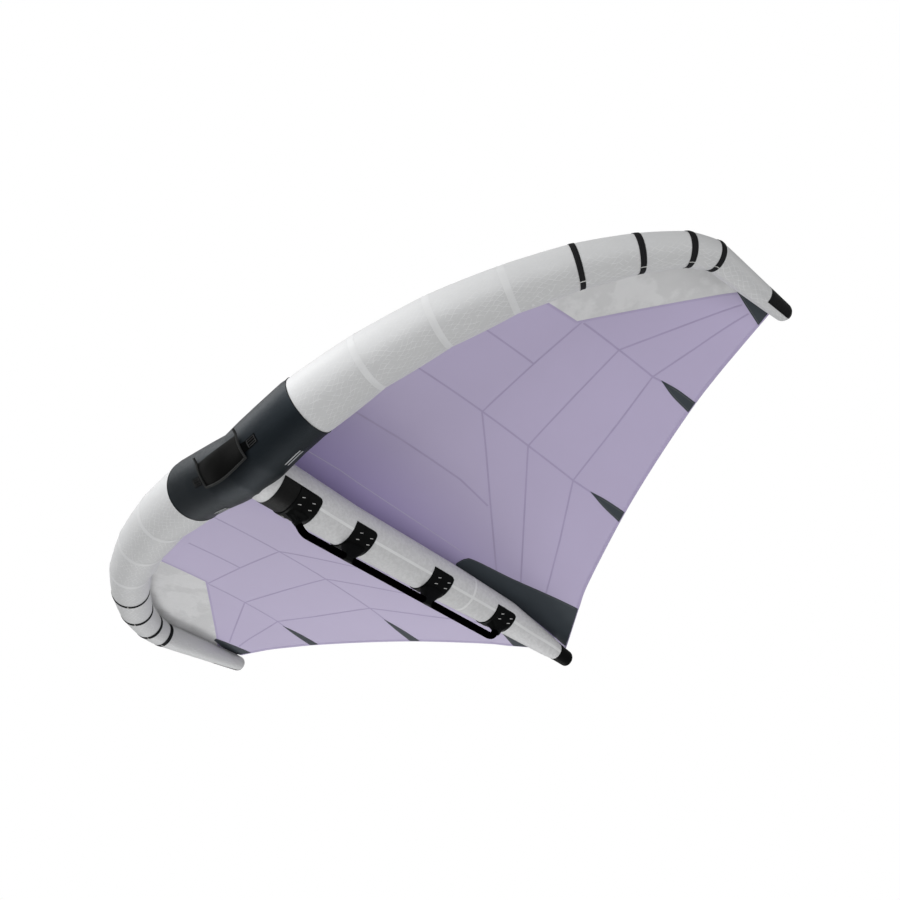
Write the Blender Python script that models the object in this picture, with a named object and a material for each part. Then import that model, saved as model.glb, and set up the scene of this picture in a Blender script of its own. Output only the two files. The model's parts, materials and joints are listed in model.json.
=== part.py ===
"""Wingfoil wing: an inflated leading edge and strut, a cloth canopy, a boom and a grab handle.

Metres, +Z up. +X runs to the right tip and +Y from the nose to the tail. The origin is the middle of
the boom's straight run, where a hand holds the wing. Positions along the wing are worked out from the
nose datum, a point near the middle of the leading edge tube, and moved to the origin by NOSE.
A place on the leading edge is counted in rings: 0 is the centre ring, LAST_RING the tip ring, and the
left half has negative places. An angle round it is 0 to the rear or inboard side, 90 up, 180 ahead.
"""
import math

import bmesh
import bpy
from mathutils import Matrix, Vector

# Overall sizes, from the nose datum
HALF_SPAN = 1.65
TIP_BACK = 1.2227
TIP_RISE = 0.461
NOSE_RADIUS = 0.130
ROOT_CHORD = 1.764
TRAIL_RISE = 0.479
BOOM_DROP = 0.154
BOOM_BEND_BACK = 0.3115

# Gaps, cloth and walls
CLEAR = 0.0003
SEAM_GAP = 0.0003
CASING_WALL = 0.0012
BLADDER_WALL = 0.0008
CANOPY_WALL = 0.0010
PATCH_WALL = 0.0008
PATCH_GAP = 0.0007
BAND_WALL = 0.0010
SCUFF_WALL = 0.0012

# Centre strut
STRUT_LENGTH = 1.775
STRUT_RADIUS = 0.1005
STRUT_RISE = 0.0203
STRUT_TAIL_DROP = 0.0766
STRUT_SEAM_BACK = 1.150
STRUT_CAP_LENGTH = 0.080
STRUT_CAP_WALL = 0.0025
STRUT_CAP_ROUND = 0.020
STRUT_BLADDER_LEAD = 0.013
STRUT_BLADDER_TAIL = 0.060

# Canopy
CENTRE_SEAM_HALF_GAP = 0.0006
CENTRE_SEAT = 0.0015
CENTRE_BLEND = 0.60
HUG_FROM = 0.160

# Boom
BOOM_RADIUS = 0.013
BOOM_WALL = 0.0015
BOOM_HALF_RUN = 0.4985
BOOM_BEND_RADIUS = 0.045
BOOM_FRONT_REACH = 0.0495
BOOM_REAR_REACH = 0.0415
BOOM_END_INSET = 0.0125

# Boom saddles
SADDLE_LENGTH = 0.110
SADDLE_PLATE = 0.0025
SOCKET_WALL = 0.0045
SOCKET_DEPTH = 0.034
WEB_TOP_LENGTH = 0.100
WEB_TOP_WIDTH = 0.052
WEB_LOW_LENGTH = 0.056
SOCKET_WEB_LOW_LENGTH = 0.034
SOCKET_WEB_REACH = 0.020
FRONT_SOCKET_INSET = 0.0131
REAR_SOCKET_INSET = 0.0101
FRONT_PATCH_START = 0.137

# Grab handle
HANDLE_LENGTH = 0.224
HANDLE_THICK = 0.004
HANDLE_END_LIFT = 0.012
HANDLE_BOW = 0.030
TAB_WALL = 0.002
TAB_LENGTH = 0.046
TAB_START = 0.140

# One-pump hose, and the welts of the slits over it
HOSE_RADIUS = 0.009
HOSE_WALL = 0.002
HOSE_OVERHANG = 0.012
WELT_WALL = 0.0015

# Inflation valve
VALVE_STEM_RADIUS = 0.017
VALVE_BORE_RADIUS = 0.013
VALVE_FLANGE_RADIUS = 0.025
VALVE_FLANGE_WALL = 0.0015
VALVE_FLANGE_GAP = 0.0006
VALVE_STAND = 0.005
VALVE_HOLE_MARGIN = 0.001
INSERT_WALL = 0.0042
INSERT_RIM_RADIUS = 0.0175
INSERT_RIM_WALL = 0.002
INSERT_DEPTH = 0.010
CAP_RADIUS = 0.0160
CAP_WALL = 0.003
CAP_PLUG_DEPTH = 0.003
HINGE_REACH = 0.0200
KNUCKLE_RADIUS = 0.0015
KNUCKLE_WIDTH = 0.006
EAR_WIDTH = 0.002

# Counts and angles
TUBE_SIDES = 20
BLADDER_SIDES = TUBE_SIDES // 2
ROUND_SIDES = 20
ROWS_AHEAD = 3
ROWS_BEHIND = 9
BOOM_SIDES = 12
SHARP_ANGLE = math.radians(35)
SADDLE_ANGLES = (-160, -20)
HANDLE_ANGLES = (-166, -126)
TAB_ANGLES = (-148, -133)
WELT_ANGLES = (-68, -58)
BAND_ANGLES = (90, 405)
SCUFF_ANGLES = (82, 253)
CAP_TURNS = (math.radians(35), math.radians(65))

# Leading edge rings as shares of half span, tip back, tip rise and nose radius
LEADING_RING_SHARES = (
    (0.0000, 0.0184, 0.0616, 1.000),
    (0.0625, 0.0140, 0.0928, 0.988),
    (0.1250, 0.0164, 0.1473, 0.969),
    (0.1900, 0.0245, 0.2139, 0.968),
    (0.3758, 0.0638, 0.3514, 0.869),
    (0.5436, 0.1325, 0.4859, 0.800),
    (0.6945, 0.2192, 0.5944, 0.703),
    (0.8194, 0.3296, 0.7223, 0.637),
    (0.9197, 0.4470, 0.8217, 0.558),
    (0.9879, 0.5643, 0.9111, 0.500),
    (1.0115, 0.6506, 0.9458, 0.439),
    (1.0000, 1.0000, 1.0000, 0.270),
)
LAST_RING = len(LEADING_RING_SHARES) - 1
WRAP_END = 3.09
WELT_PLACES = (1.47, 2, 2.22)
SEAM_BAND_HALF_WIDTHS = (0.006, 0.008, 0.009, 0.011)
FIRST_BAND_RING = 7
VALVE_RING = 2
TIP_PANEL_RING = 6
TIP_PANEL_CORNER_SHARE = 0.36656
TIP_PANEL_SEAM_END = 10.7173
TIP_PANEL_LAST = 10.69
CANOPY_LAST = 10.95
SCUFF_START = 10.78
DOME_PLACES = (11.3, 11.6, 11.85)

# Trailing edge point of each ring's rib: shares of half span, of the way back from the tip's rings to
# the root chord, and of trail rise
TRAIL_SHARES = (
    (0.0000, 1.0000, 0.0000),
    (0.0624, 0.8745, 0.0438),
    (0.1248, 0.7562, 0.1054),
    (0.1900, 0.6494, 0.1856),
    (0.3758, 0.4235, 0.4008),
    (0.5412, 0.2554, 0.5758),
    (0.6910, 0.1286, 0.7311),
    (0.7820, 0.0742, 0.8273),
    (0.8590, 0.0439, 0.9146),
    (0.9150, 0.0129, 0.9601),
    (0.9480, -0.0073, 0.9820),
    (0.9745, -0.0236, 1.0000),
)
CAMBER_SHARES = (0.010, 0.017, 0.022, 0.026, 0.029, 0.030, 0.030, 0.030, 0.028, 0.026, 0.022, 0.015)
ATTACH_ANGLES = (50, 62, 72, 78, 80, 80, 79, 78, 76, 74, 72, 70)

# Strut rings as shares of strut length, tail drop and front radius
STRUT_RING_SHARES = (
    (0.0000, 0.000, 1.000),
    (0.2907, 0.333, 0.874),
    (0.5810, 0.392, 0.808),
    (0.7843, 0.441, 0.674),
    (0.9296, 0.800, 0.433),
    (1.0000, 1.000, 0.224),
)
HUG_TO_SHARE = 0.7843

# Middles of the two inner saddles as shares of the boom's half run, from its middle
HANGER_SHARES = {"second": -0.5065, "third": 0.329}

# Corners of the patches under the canopy as rib places and chord shares: front pair, then rear pair
TIP_PATCH_CORNERS = ((9.706, 0.6046), (10.3425, 0.3647), (9.48, 0.9775), (10.6714, 0.874))
EDGE_PATCH_CORNERS = {
    "inner": ((4.0057, 0.8614), (4.0195, 0.8622), (3.9201, 0.9957), (4.08, 0.9959)),
    "outer": ((6.0424, 0.8156), (6.0631, 0.8158), (5.894, 0.9915), (6.1271, 0.9944)),
}

# Large patch beside the strut, in rings: its inner edge, and its outer edge at each canopy row
STRUT_PATCH_INNER_PLACE = 0.29
STRUT_PATCH_OUTER_PLACES = (0.62, 1.03, 1.18, 1.33, 1.57, 1.83)
STRUT_PATCH_FIRST_ROW = 6
# Share of the chord at which the canopy's sewn hem begins
HEM_SHARE = 0.968

NOSE = Vector((0, -BOOM_BEND_BACK - BOOM_HALF_RUN, BOOM_DROP))
UP = Vector((0, 0, 1))

COLOURS = {
    "pale_cloth": ((0.58, 0.59, 0.61), 0.55),
    "dark_cloth": ((0.030, 0.036, 0.040), 0.60),
    "lilac_cloth": ((0.36, 0.31, 0.46), 0.50),
    "grey_cloth": ((0.50, 0.50, 0.53), 0.55),
    "slate_cloth": ((0.035, 0.042, 0.052), 0.65),
    "black_rubber": ((0.010, 0.011, 0.012), 0.50),
    "clear_film": ((0.70, 0.72, 0.74), 0.30),
    "black_boom": ((0.006, 0.005, 0.006), 0.30),
    "black_webbing": ((0.008, 0.008, 0.009), 0.75),
    "valve_plastic": ((0.45, 0.46, 0.47), 0.40),
}


def material(name):
    """The named finish, made once."""
    made = bpy.data.materials.get(name)
    if made:
        return made
    colour, roughness = COLOURS[name]
    made = bpy.data.materials.new(name)
    made.use_nodes = True
    surface = made.node_tree.nodes["Principled BSDF"]
    surface.inputs["Base Color"].default_value = (*colour, 1)
    surface.inputs["Roughness"].default_value = roughness
    surface.inputs["Metallic"].default_value = 0
    return made


def between(table, place):
    """Value of a table of numbers at a place between its entries."""
    index = min(int(place), len(table) - 2)
    return table[index] + (table[index + 1] - table[index]) * (place - index)


def smooth_between(table, place):
    """Value on a smooth curve through a table's entries."""
    index = min(int(place), len(table) - 2)
    share = place - index
    here, there = table[index], table[index + 1]
    before = table[index - 1] if index else here - (there - here)
    after = table[index + 2] if index + 2 < len(table) else there + (there - here)
    start = (there - before) / 2
    end = (after - here) / 2
    gap = there - here
    return here + start * share + (3 * gap - 2 * start - end) * share ** 2 \
        + (start + end - 2 * gap) * share ** 3


def steps(first, last, count):
    """Evenly spaced values, both ends included."""
    return [first + (last - first) * k / count for k in range(count + 1)]


def facet_angles(first, last):
    """Two angles round a tube and every corner of its facets between them."""
    turn = 360 / TUBE_SIDES
    corners = [turn * k for k in range(-TUBE_SIDES, 2 * TUBE_SIDES) if first < turn * k < last]
    return [first] + corners + [last]


# Leading edge tube

def leading_rings():
    """Centre, rear, up and outboard directions and radius of each right-hand ring."""
    centres = [
        Vector((HALF_SPAN * span, TIP_BACK * back, TIP_RISE * rise))
        for span, back, rise, _ in LEADING_RING_SHARES
    ]
    rings = []
    for index, centre in enumerate(centres):
        mirrored = Vector((-centres[1].x, centres[1].y, centres[1].z))
        before = centres[index - 1] if index else mirrored
        after = centres[min(index + 1, LAST_RING)]
        along = (centre - before).normalized() + (after - centre).normalized()
        along.normalize()
        up = (UP - along * along.z).normalized()
        radius = NOSE_RADIUS * LEADING_RING_SHARES[index][3]
        rings.append((centre, up.cross(along), up, along, radius))
    return rings


RINGS = leading_rings()


def tube_point(place, angle, lift=0.0):
    """Point on the leading edge tube, or lift above it; places past the tip ring follow its round end."""
    turn = math.radians(angle)
    ahead = abs(place)

    def on_ring(index, dome=0.0):
        centre, rear, up, along, radius = RINGS[index]
        spoke = rear * math.cos(turn) + up * math.sin(turn)
        return centre + (spoke * math.cos(dome) + along * math.sin(dome)) * (radius + lift)

    if ahead >= LAST_RING:
        point = on_ring(LAST_RING, math.radians(90) * (ahead - LAST_RING))
    else:
        point = on_ring(int(ahead)).lerp(on_ring(int(ahead) + 1), ahead - int(ahead))
    return Vector((math.copysign(point.x, place), point.y, point.z)) + NOSE


def tube_point_at(span, angle, lift=0.0):
    """Point on the leading edge tube at a given distance from the centre plane."""
    index = 0
    while abs(tube_point(index + 1, angle, lift).x) < abs(span):
        index += 1
    near = tube_point(index, angle, lift).x
    far = tube_point(index + 1, angle, lift).x
    place = index + (abs(span) - near) / (far - near)
    return tube_point(math.copysign(place, span), angle, lift)


def tube_rows(places, lift, sides=TUBE_SIDES):
    """Closed rows of points round the tube at each place."""
    return [[tube_point(place, 360 * k / sides, lift) for k in range(sides)] for place in places]


def tube_radius(place):
    """Radius of the leading edge tube at a place."""
    return between([ring[4] for ring in RINGS], min(abs(place), LAST_RING))


def ring_distance(index):
    """Length of the tube from a ring to the next one."""
    return (RINGS[index + 1][0] - RINGS[index][0]).length


# Strut tube

def strut_at(back):
    """Height above the nose datum and radius of the strut at a distance behind the datum."""
    rings = [
        (STRUT_LENGTH * length, STRUT_RISE - STRUT_TAIL_DROP * drop, STRUT_RADIUS * radius)
        for length, drop, radius in STRUT_RING_SHARES
    ]
    index = 0
    while index < len(rings) - 2 and rings[index + 1][0] < back:
        index += 1
    near, far = rings[index], rings[index + 1]
    share = (back - near[0]) / (far[0] - near[0])
    return near[1] + (far[1] - near[1]) * share, near[2] + (far[2] - near[2]) * share


def strut_point(back, angle, lift=0.0):
    """Point on the strut; angle 0 is to the right, -90 is underneath."""
    height, radius = strut_at(back)
    turn = math.radians(angle)
    reach = radius + lift
    return Vector((reach * math.cos(turn), back, height + reach * math.sin(turn))) + NOSE


def strut_rows(backs, lift, sides=TUBE_SIDES):
    """Closed rows of points round the strut."""
    return [[strut_point(back, 360 * k / sides, lift) for k in range(sides)] for back in backs]


def strut_stations(first, last):
    """The strut's ring distances between two distances, ends included."""
    inner = [STRUT_LENGTH * length for length, _, _ in STRUT_RING_SHARES]
    return [first] + [back for back in inner if first < back < last] + [last]


def strut_underside(back):
    """Height of the strut's lowest line, in the part's frame."""
    height, radius = strut_at(back)
    return height - radius + NOSE.z


# Mesh builders

def add_object(name, bm, finish, origin=None, cavity=()):
    """Closed mesh as an object whose origin is at the given point; a cavity's faces look inward."""
    centre = origin or Vector()
    bmesh.ops.recalc_face_normals(bm, faces=bm.faces)
    bmesh.ops.reverse_faces(bm, faces=list(cavity))
    bmesh.ops.translate(bm, verts=bm.verts, vec=-centre)
    mesh = bpy.data.meshes.new(name)
    bm.to_mesh(mesh)
    bm.free()
    mesh.materials.append(material(finish))
    mesh.shade_smooth()
    mesh.set_sharp_from_angle(angle=SHARP_ANGLE)
    made = bpy.data.objects.new(name, mesh)
    made.location = centre
    bpy.context.scene.collection.objects.link(made)
    return made


def add_ring_faces(bm, rows):
    """Faces between neighbouring closed rows of vertices."""
    for near, far in zip(rows, rows[1:]):
        for k in range(len(near)):
            nxt = (k + 1) % len(near)
            bm.faces.new((near[k], near[nxt], far[nxt], far[k]))


def close_row(bm, row, pole=None):
    """Cap a closed row flat, or with a fan to a pole."""
    if pole is None:
        bm.faces.new(row)
        return
    tip = bm.verts.new(pole)
    for k in range(len(row)):
        bm.faces.new((row[k], row[(k + 1) % len(row)], tip))


def add_shell(name, outer, inner, finish, poles=None, sealed=False):
    """Hollow wall between outer and inner rows, with rims, a far end closed by poles, or sealed flat."""
    bm = bmesh.new()
    out = [[bm.verts.new(point) for point in row] for row in outer]
    ins = [[bm.verts.new(point) for point in row] for row in inner]
    add_ring_faces(bm, out)
    add_ring_faces(bm, ins)
    for end, row in ((0, 0), (1, -1)):
        if poles and end == 1:
            close_row(bm, out[row], poles[0])
            close_row(bm, ins[row], poles[1])
        elif sealed:
            close_row(bm, out[row])
            close_row(bm, ins[row])
        else:
            add_ring_faces(bm, [out[row], ins[row]])
    inside = {vertex for row in ins for vertex in row}
    cavity = [face for face in bm.faces if sealed and inside.issuperset(face.verts)]
    return add_object(name, bm, finish, cavity=cavity)


def add_solid(name, rows, finish):
    """Filled body between closed rows with flat ends."""
    bm = bmesh.new()
    made = [[bm.verts.new(point) for point in row] for row in rows]
    add_ring_faces(bm, made)
    close_row(bm, made[0])
    close_row(bm, made[-1])
    return add_object(name, bm, finish)


def add_slab(name, lower, upper, finish, keep=None, origin=None):
    """Sheet with thickness between two grids of points; keep tells which cells it has."""
    bm = bmesh.new()
    cells = [
        (i, j)
        for i in range(len(lower) - 1)
        for j in range(len(lower[0]) - 1)
        if keep is None or keep(i, j)
    ]
    below, above, edges = {}, {}, {}
    for i, j in cells:
        loop = ((i, j), (i + 1, j), (i + 1, j + 1), (i, j + 1))
        for row, column in loop:
            if (row, column) not in below:
                below[row, column] = bm.verts.new(lower[row][column])
                above[row, column] = bm.verts.new(upper[row][column])
        bm.faces.new([above[corner] for corner in loop])
        bm.faces.new([below[corner] for corner in reversed(loop)])
        for start, end in zip(loop, loop[1:] + loop[:1]):
            edges.setdefault(frozenset((start, end)), []).append((start, end))
    for uses in edges.values():
        if len(uses) == 1:
            start, end = uses[0]
            bm.faces.new((above[end], above[start], below[start], below[end]))
    return add_object(name, bm, finish, origin)


def add_turned(name, profile, frame, finish, origin=None):
    """Profile of (radius, height) pairs turned about the frame's Z axis."""
    bm = bmesh.new()
    rows = []
    for radius, height in profile:
        if radius == 0:
            rows.append([bm.verts.new(frame @ Vector((0, 0, height)))])
            continue
        turns = [math.tau * k / ROUND_SIDES for k in range(ROUND_SIDES)]
        rows.append([
            bm.verts.new(frame @ Vector((radius * math.cos(turn), radius * math.sin(turn), height)))
            for turn in turns
        ])
    open_axis = profile[0][0] == 0
    pairs = zip(rows, rows[1:]) if open_axis else zip(rows, rows[1:] + rows[:1])
    for near, far in pairs:
        if len(near) == 1 or len(far) == 1:
            tip, ring = (near[0], far) if len(near) == 1 else (far[0], near)
            for k in range(len(ring)):
                bm.faces.new((tip, ring[k], ring[(k + 1) % len(ring)]))
        else:
            add_ring_faces(bm, [near, far])
    return add_object(name, bm, finish, origin)


def add_rod(name, start, end, radius, finish, sides=ROUND_SIDES):
    """Round bar between two points."""
    bm = bmesh.new()
    along = end - start
    turn = along.to_track_quat("Z", "X").to_matrix().to_4x4()
    place = Matrix.Translation((start + end) / 2) @ turn
    bmesh.ops.create_cone(bm, cap_ends=True, segments=sides, radius1=radius, radius2=radius,
                          depth=along.length, matrix=place)
    return add_object(name, bm, finish)


def add_block(name, frame, size, finish):
    """Box of a size centred on a frame."""
    bm = bmesh.new()
    scale = Matrix.Diagonal((*size, 1))
    bmesh.ops.create_cube(bm, size=1, matrix=frame @ scale)
    return add_object(name, bm, finish)


def combine(body, tool, operation):
    """Boolean of a body with a tool that stays out of the model."""
    tool.hide_render = True
    tool.display_type = "WIRE"
    step = body.modifiers.new(tool.name, "BOOLEAN")
    step.operation = operation
    step.solver = "EXACT"
    step.object = tool


# Leading edge casing

def ring_seam_places(first, last):
    """Places of the rings between two places, each end drawn back by half the seam gap."""
    def drawn_back(place, step):
        index = min(int(min(place, place + step)), LAST_RING - 1)
        return place + step * SEAM_GAP / 2 / ring_distance(index)

    inner = [ring for ring in range(LAST_RING + 1) if first < ring < last]
    return [drawn_back(first, 1)] + inner + [drawn_back(last, -1)]


def casing_panel(name, places, finish):
    """Open casing sleeve of the leading edge."""
    return add_shell(name, tube_rows(places, 0), tube_rows(places, -CASING_WALL), finish)


def leading_casing():
    """Dark centre wrap, seven pale sleeves and a closed tip on each side."""
    half = ring_seam_places(0, WRAP_END)[1:]
    places = [-place for place in reversed(half)] + [0] + half
    wrap = casing_panel("leading_edge_wrap", places, "dark_cloth")
    for side, hand in ((1, "right"), (-1, "left")):
        seams = [WRAP_END] + list(range(4, LAST_RING))
        for number, (first, last) in enumerate(zip(seams, seams[1:]), start=1):
            panel = [side * place for place in ring_seam_places(first, last)]
            casing_panel(f"leading_edge_panel_{number}_{hand}", panel, "pale_cloth")
        leading_tip(side, hand)
    return wrap


def leading_tip(side, hand):
    """Last sleeve of the leading edge, closed by its round end."""
    places = ring_seam_places(LAST_RING - 1, LAST_RING)[:1] + [LAST_RING, *DOME_PLACES]
    places = [side * place for place in places]
    end = side * (LAST_RING + 1)
    poles = (tube_point(end, 0, 0), tube_point(end, 0, -CASING_WALL))
    add_shell(f"leading_edge_tip_{hand}", tube_rows(places, 0), tube_rows(places, -CASING_WALL),
              "pale_cloth", poles)


def facet_dip(place, angle):
    """How far the tube's flat facets lie inside its round surface, as a lift; none on its round end."""
    if abs(place) > LAST_RING:
        return 0.0
    half = math.pi / TUBE_SIDES
    offset = math.radians(angle) % (2 * half) - half
    return tube_radius(place) * (math.cos(half) / math.cos(offset) - 1)


def tube_skin(name, places, angles, lift, wall, finish):
    """Sheet sewn over part of the leading edge tube, lying on its facets."""
    def grid(height):
        return [
            [tube_point(place, angle, height + facet_dip(place, angle)) for angle in angles]
            for place in places
        ]

    return add_slab(name, grid(lift), grid(lift + wall), finish)


def seam_bands():
    """Black bands over the four outer seams; each stops short of the canopy on both sides."""
    angles = facet_angles(*BAND_ANGLES)
    for side, hand in ((1, "right"), (-1, "left")):
        for number, half_width in enumerate(SEAM_BAND_HALF_WIDTHS):
            ring = FIRST_BAND_RING + number
            before = ring - half_width / ring_distance(ring - 1)
            after = ring + half_width / ring_distance(ring)
            places = [side * place for place in (before, ring, after)]
            tube_skin(f"seam_band_{number + 1}_{hand}", places, angles, CLEAR, BAND_WALL,
                      "black_webbing")


def scuff_caps():
    """Black patch on the outer side of each tip and round its end."""
    angles = facet_angles(*SCUFF_ANGLES)
    for side, hand in ((1, "right"), (-1, "left")):
        places = [side * place for place in (SCUFF_START, LAST_RING, *DOME_PLACES)]
        tube_skin(f"tip_scuff_patch_{hand}", places, angles, CLEAR, SCUFF_WALL, "black_rubber")


# Strut

def leading_clearance():
    """Solid of the leading edge's middle with the fitting gap, which shapes the strut's mouth."""
    places = [-2, -1, 0, 1, 2]
    return add_solid("leading_edge_clearance", tube_rows(places, CLEAR), "clear_film")


def strut_casing():
    """Front and rear sleeves of the strut; the front one is mouthed to the leading edge."""
    seam = SEAM_GAP / 2
    cap_start = STRUT_LENGTH - STRUT_CAP_LENGTH
    parts = (
        ("strut_casing_front", 0.0, STRUT_SEAM_BACK - seam),
        ("strut_casing_rear", STRUT_SEAM_BACK + seam, cap_start - seam),
    )
    made = []
    for name, first, last in parts:
        backs = strut_stations(first, last)
        made.append(add_shell(name, strut_rows(backs, 0), strut_rows(backs, -CASING_WALL),
                              "pale_cloth"))
    combine(made[0], leading_clearance(), "DIFFERENCE")


def strut_end_cap():
    """Rubber cup on the strut's tail."""
    start = STRUT_LENGTH - STRUT_CAP_LENGTH + SEAM_GAP / 2
    round_start = STRUT_LENGTH - STRUT_CAP_ROUND

    def rows(depth):
        height, radius = strut_at(round_start)
        made = strut_rows([start, round_start], -depth)
        for turn in CAP_TURNS:
            back = round_start + (STRUT_CAP_ROUND - depth) * math.sin(turn)
            level, _ = strut_at(back)
            reach = radius - depth - (STRUT_CAP_ROUND - depth) * (1 - math.cos(turn))
            made.append([
                Vector((reach * math.cos(a), back, level + reach * math.sin(a))) + NOSE
                for a in [math.tau * k / TUBE_SIDES for k in range(TUBE_SIDES)]
            ])
        level, _ = strut_at(STRUT_LENGTH)
        return made, Vector((0, STRUT_LENGTH - depth, level)) + NOSE

    outer, outer_pole = rows(0)
    inner, inner_pole = rows(STRUT_CAP_WALL)
    add_shell("strut_end_cap", outer, inner, "black_rubber", (outer_pole, inner_pole))


# Bladders and one-pump hose

def hose_line():
    """Start and end of the hose that joins the two bladders, on the centre plane."""
    centre, _, _, _, radius = RINGS[0]
    wall_back = centre.y + radius
    start = Vector((0, wall_back - HOSE_OVERHANG, centre.z)) + NOSE
    end = Vector((0, wall_back + STRUT_BLADDER_LEAD + HOSE_OVERHANG, centre.z)) + NOSE
    return start, end


def hose_bore(name):
    """Cutter for the hole that the hose passes."""
    start, end = hose_line()
    return add_rod(name, start, end, HOSE_RADIUS + CLEAR, "clear_film")


def transfer_hose():
    """Short hose between the bladders."""
    start, end = hose_line()
    rows = []
    for reach in (HOSE_RADIUS, HOSE_RADIUS - HOSE_WALL):
        turns = [math.tau * k / ROUND_SIDES for k in range(ROUND_SIDES)]
        rows.append([
            [Vector((reach * math.cos(turn), at.y, at.z + reach * math.sin(turn))) for turn in turns]
            for at in (start, end)
        ])
    add_shell("transfer_hose", rows[0], rows[1], "clear_film")


def leading_bladder():
    """Airtight tube inside the leading edge, from tip to tip."""
    half = [*range(1, LAST_RING + 1), *DOME_PLACES[:2]]
    places = [-place for place in reversed(half)] + [0] + half
    lift = -(CASING_WALL + CLEAR)
    outer = tube_rows(places, lift, BLADDER_SIDES)
    inner = tube_rows(places, lift - BLADDER_WALL, BLADDER_SIDES)
    return add_shell("leading_edge_bladder", outer, inner, "clear_film", sealed=True)


def strut_bladder():
    """Airtight tube inside the strut."""
    centre, _, _, _, radius = RINGS[0]
    first = centre.y + radius + STRUT_BLADDER_LEAD
    last = STRUT_LENGTH - STRUT_BLADDER_TAIL - STRUT_CAP_LENGTH / 2
    backs = strut_stations(first, last)
    lift = -(CASING_WALL + CLEAR)
    outer = strut_rows(backs, lift, BLADDER_SIDES)
    inset = [first + BLADDER_WALL, *backs[1:-1], last - BLADDER_WALL]
    inner = strut_rows(inset, lift - BLADDER_WALL, BLADDER_SIDES)
    return add_shell("strut_bladder", outer, inner, "clear_film", sealed=True)


# Canopy

def trail_point(place):
    """Trailing edge end of the rib at a place."""
    span, back, rise = (smooth_between([row[k] for row in TRAIL_SHARES], place) for k in range(3))
    back = TIP_BACK + (ROOT_CHORD - TIP_BACK) * back
    return Vector((HALF_SPAN * span, back, TRAIL_RISE * rise)) + NOSE


def rib_ends(place):
    """Leading and trailing ends of the canopy's rib."""
    return tube_point(place, smooth_between(ATTACH_ANGLES, place), CLEAR), trail_point(place)


def strut_top(back):
    """Height of the canopy's seam over the strut at a distance behind the nose datum."""
    height, radius = strut_at(back)
    return height + radius + CENTRE_SEAT + NOSE.z


def centre_sag(share):
    """How far the centre seam lies below its straight chord to follow the strut."""
    start, end = rib_ends(0)
    back = start.y + (end.y - start.y) * share
    hug_from = HUG_FROM + NOSE.y
    hug_to = STRUT_LENGTH * HUG_TO_SHARE + NOSE.y
    if back < hug_from:
        level = start.z + (strut_top(HUG_FROM) - start.z) * (back - start.y) / (hug_from - start.y)
    elif back < hug_to:
        level = strut_top(back - NOSE.y)
    else:
        last = strut_top(hug_to - NOSE.y)
        slope = (last - strut_top(hug_to - NOSE.y - CENTRE_SEAT)) / CENTRE_SEAT
        chord = (end.z - last) / (end.y - hug_to)
        reach = back - hug_to
        level = last + slope * reach + (chord - slope) * reach ** 2 / (end.y - hug_to)
    return level - (start.z + (end.z - start.z) * share)


def canopy_point(place, share, lift=0.0):
    """Point on the canopy's underside: rib place and share of the chord from the leading edge."""
    ahead = abs(place)
    start, end = rib_ends(ahead)
    point = start.lerp(end, share)
    camber = smooth_between(CAMBER_SHARES, ahead)
    bulge = (end - start).length * camber * math.sin(math.pi * share)
    pull = max(0.0, 1 - start.x / CENTRE_BLEND) ** 2
    point.z += (1 - pull) * bulge + pull * centre_sag(share) + lift
    point.x = math.copysign(max(point.x, CENTRE_SEAM_HALF_GAP), place)
    return point


def row_shares(split):
    """Chord shares of the canopy's rows ahead of and behind a split."""
    ahead = steps(0, split, ROWS_AHEAD)
    return ahead[:-1] + steps(split, HEM_SHARE, ROWS_BEHIND - 1) + [1]


def tip_panel_share(place):
    """Chord share at which the tip panel's inner seam crosses a rib, or would nearer the centre."""
    if place < TIP_PANEL_RING:
        return TIP_PANEL_CORNER_SHARE
    root, tail = (point.xy for point in rib_ends(TIP_PANEL_RING))
    corner = root.lerp(tail, TIP_PANEL_CORNER_SHARE)
    seam = rib_ends(TIP_PANEL_SEAM_END)[0].xy - corner
    start, end = (point.xy for point in rib_ends(place))
    crossing = (corner - start).cross(seam) / (end - start).cross(seam)
    return min(max(crossing, 0.0), 1.0)


def canopy_panels(side, hand):
    """Main panel and tip panel of one half of the canopy."""
    ahead = steps(0, 1, ROWS_AHEAD)
    ring_gap = SEAM_GAP / ring_distance(TIP_PANEL_RING)
    inner = [*steps(0, 4, 8), 5, TIP_PANEL_RING]
    outer = steps(TIP_PANEL_RING, LAST_RING - 1, 6)[1:]
    outer += steps(LAST_RING - 1, TIP_PANEL_LAST, 3)[1:]
    outer += steps(TIP_PANEL_LAST, CANOPY_LAST, 2)[1:]
    places = inner + outer

    def seam_share(place, step):
        start, end = rib_ends(place)
        return tip_panel_share(place) + step * SEAM_GAP / (end - start).length

    def main_row(place):
        step = 0 if place < TIP_PANEL_RING else 1
        return row_shares(seam_share(place, step))

    def keep(i, j):
        return places[i + 1] <= TIP_PANEL_RING or j >= ROWS_AHEAD

    def grid(rows, lift):
        return [[canopy_point(side * place, share, lift) for share in shares] for place, shares in rows]

    main = [(place, main_row(place)) for place in places]
    add_slab(f"canopy_{hand}", grid(main, 0), grid(main, CANOPY_WALL), "lilac_cloth", keep)
    tips = [TIP_PANEL_RING + ring_gap] + [p for p in outer if p <= TIP_PANEL_LAST]
    rows = [(place, [seam_share(place, -1) * share for share in ahead]) for place in tips]
    add_slab(f"tip_panel_{hand}", grid(rows, 0), grid(rows, CANOPY_WALL), "grey_cloth")


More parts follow.
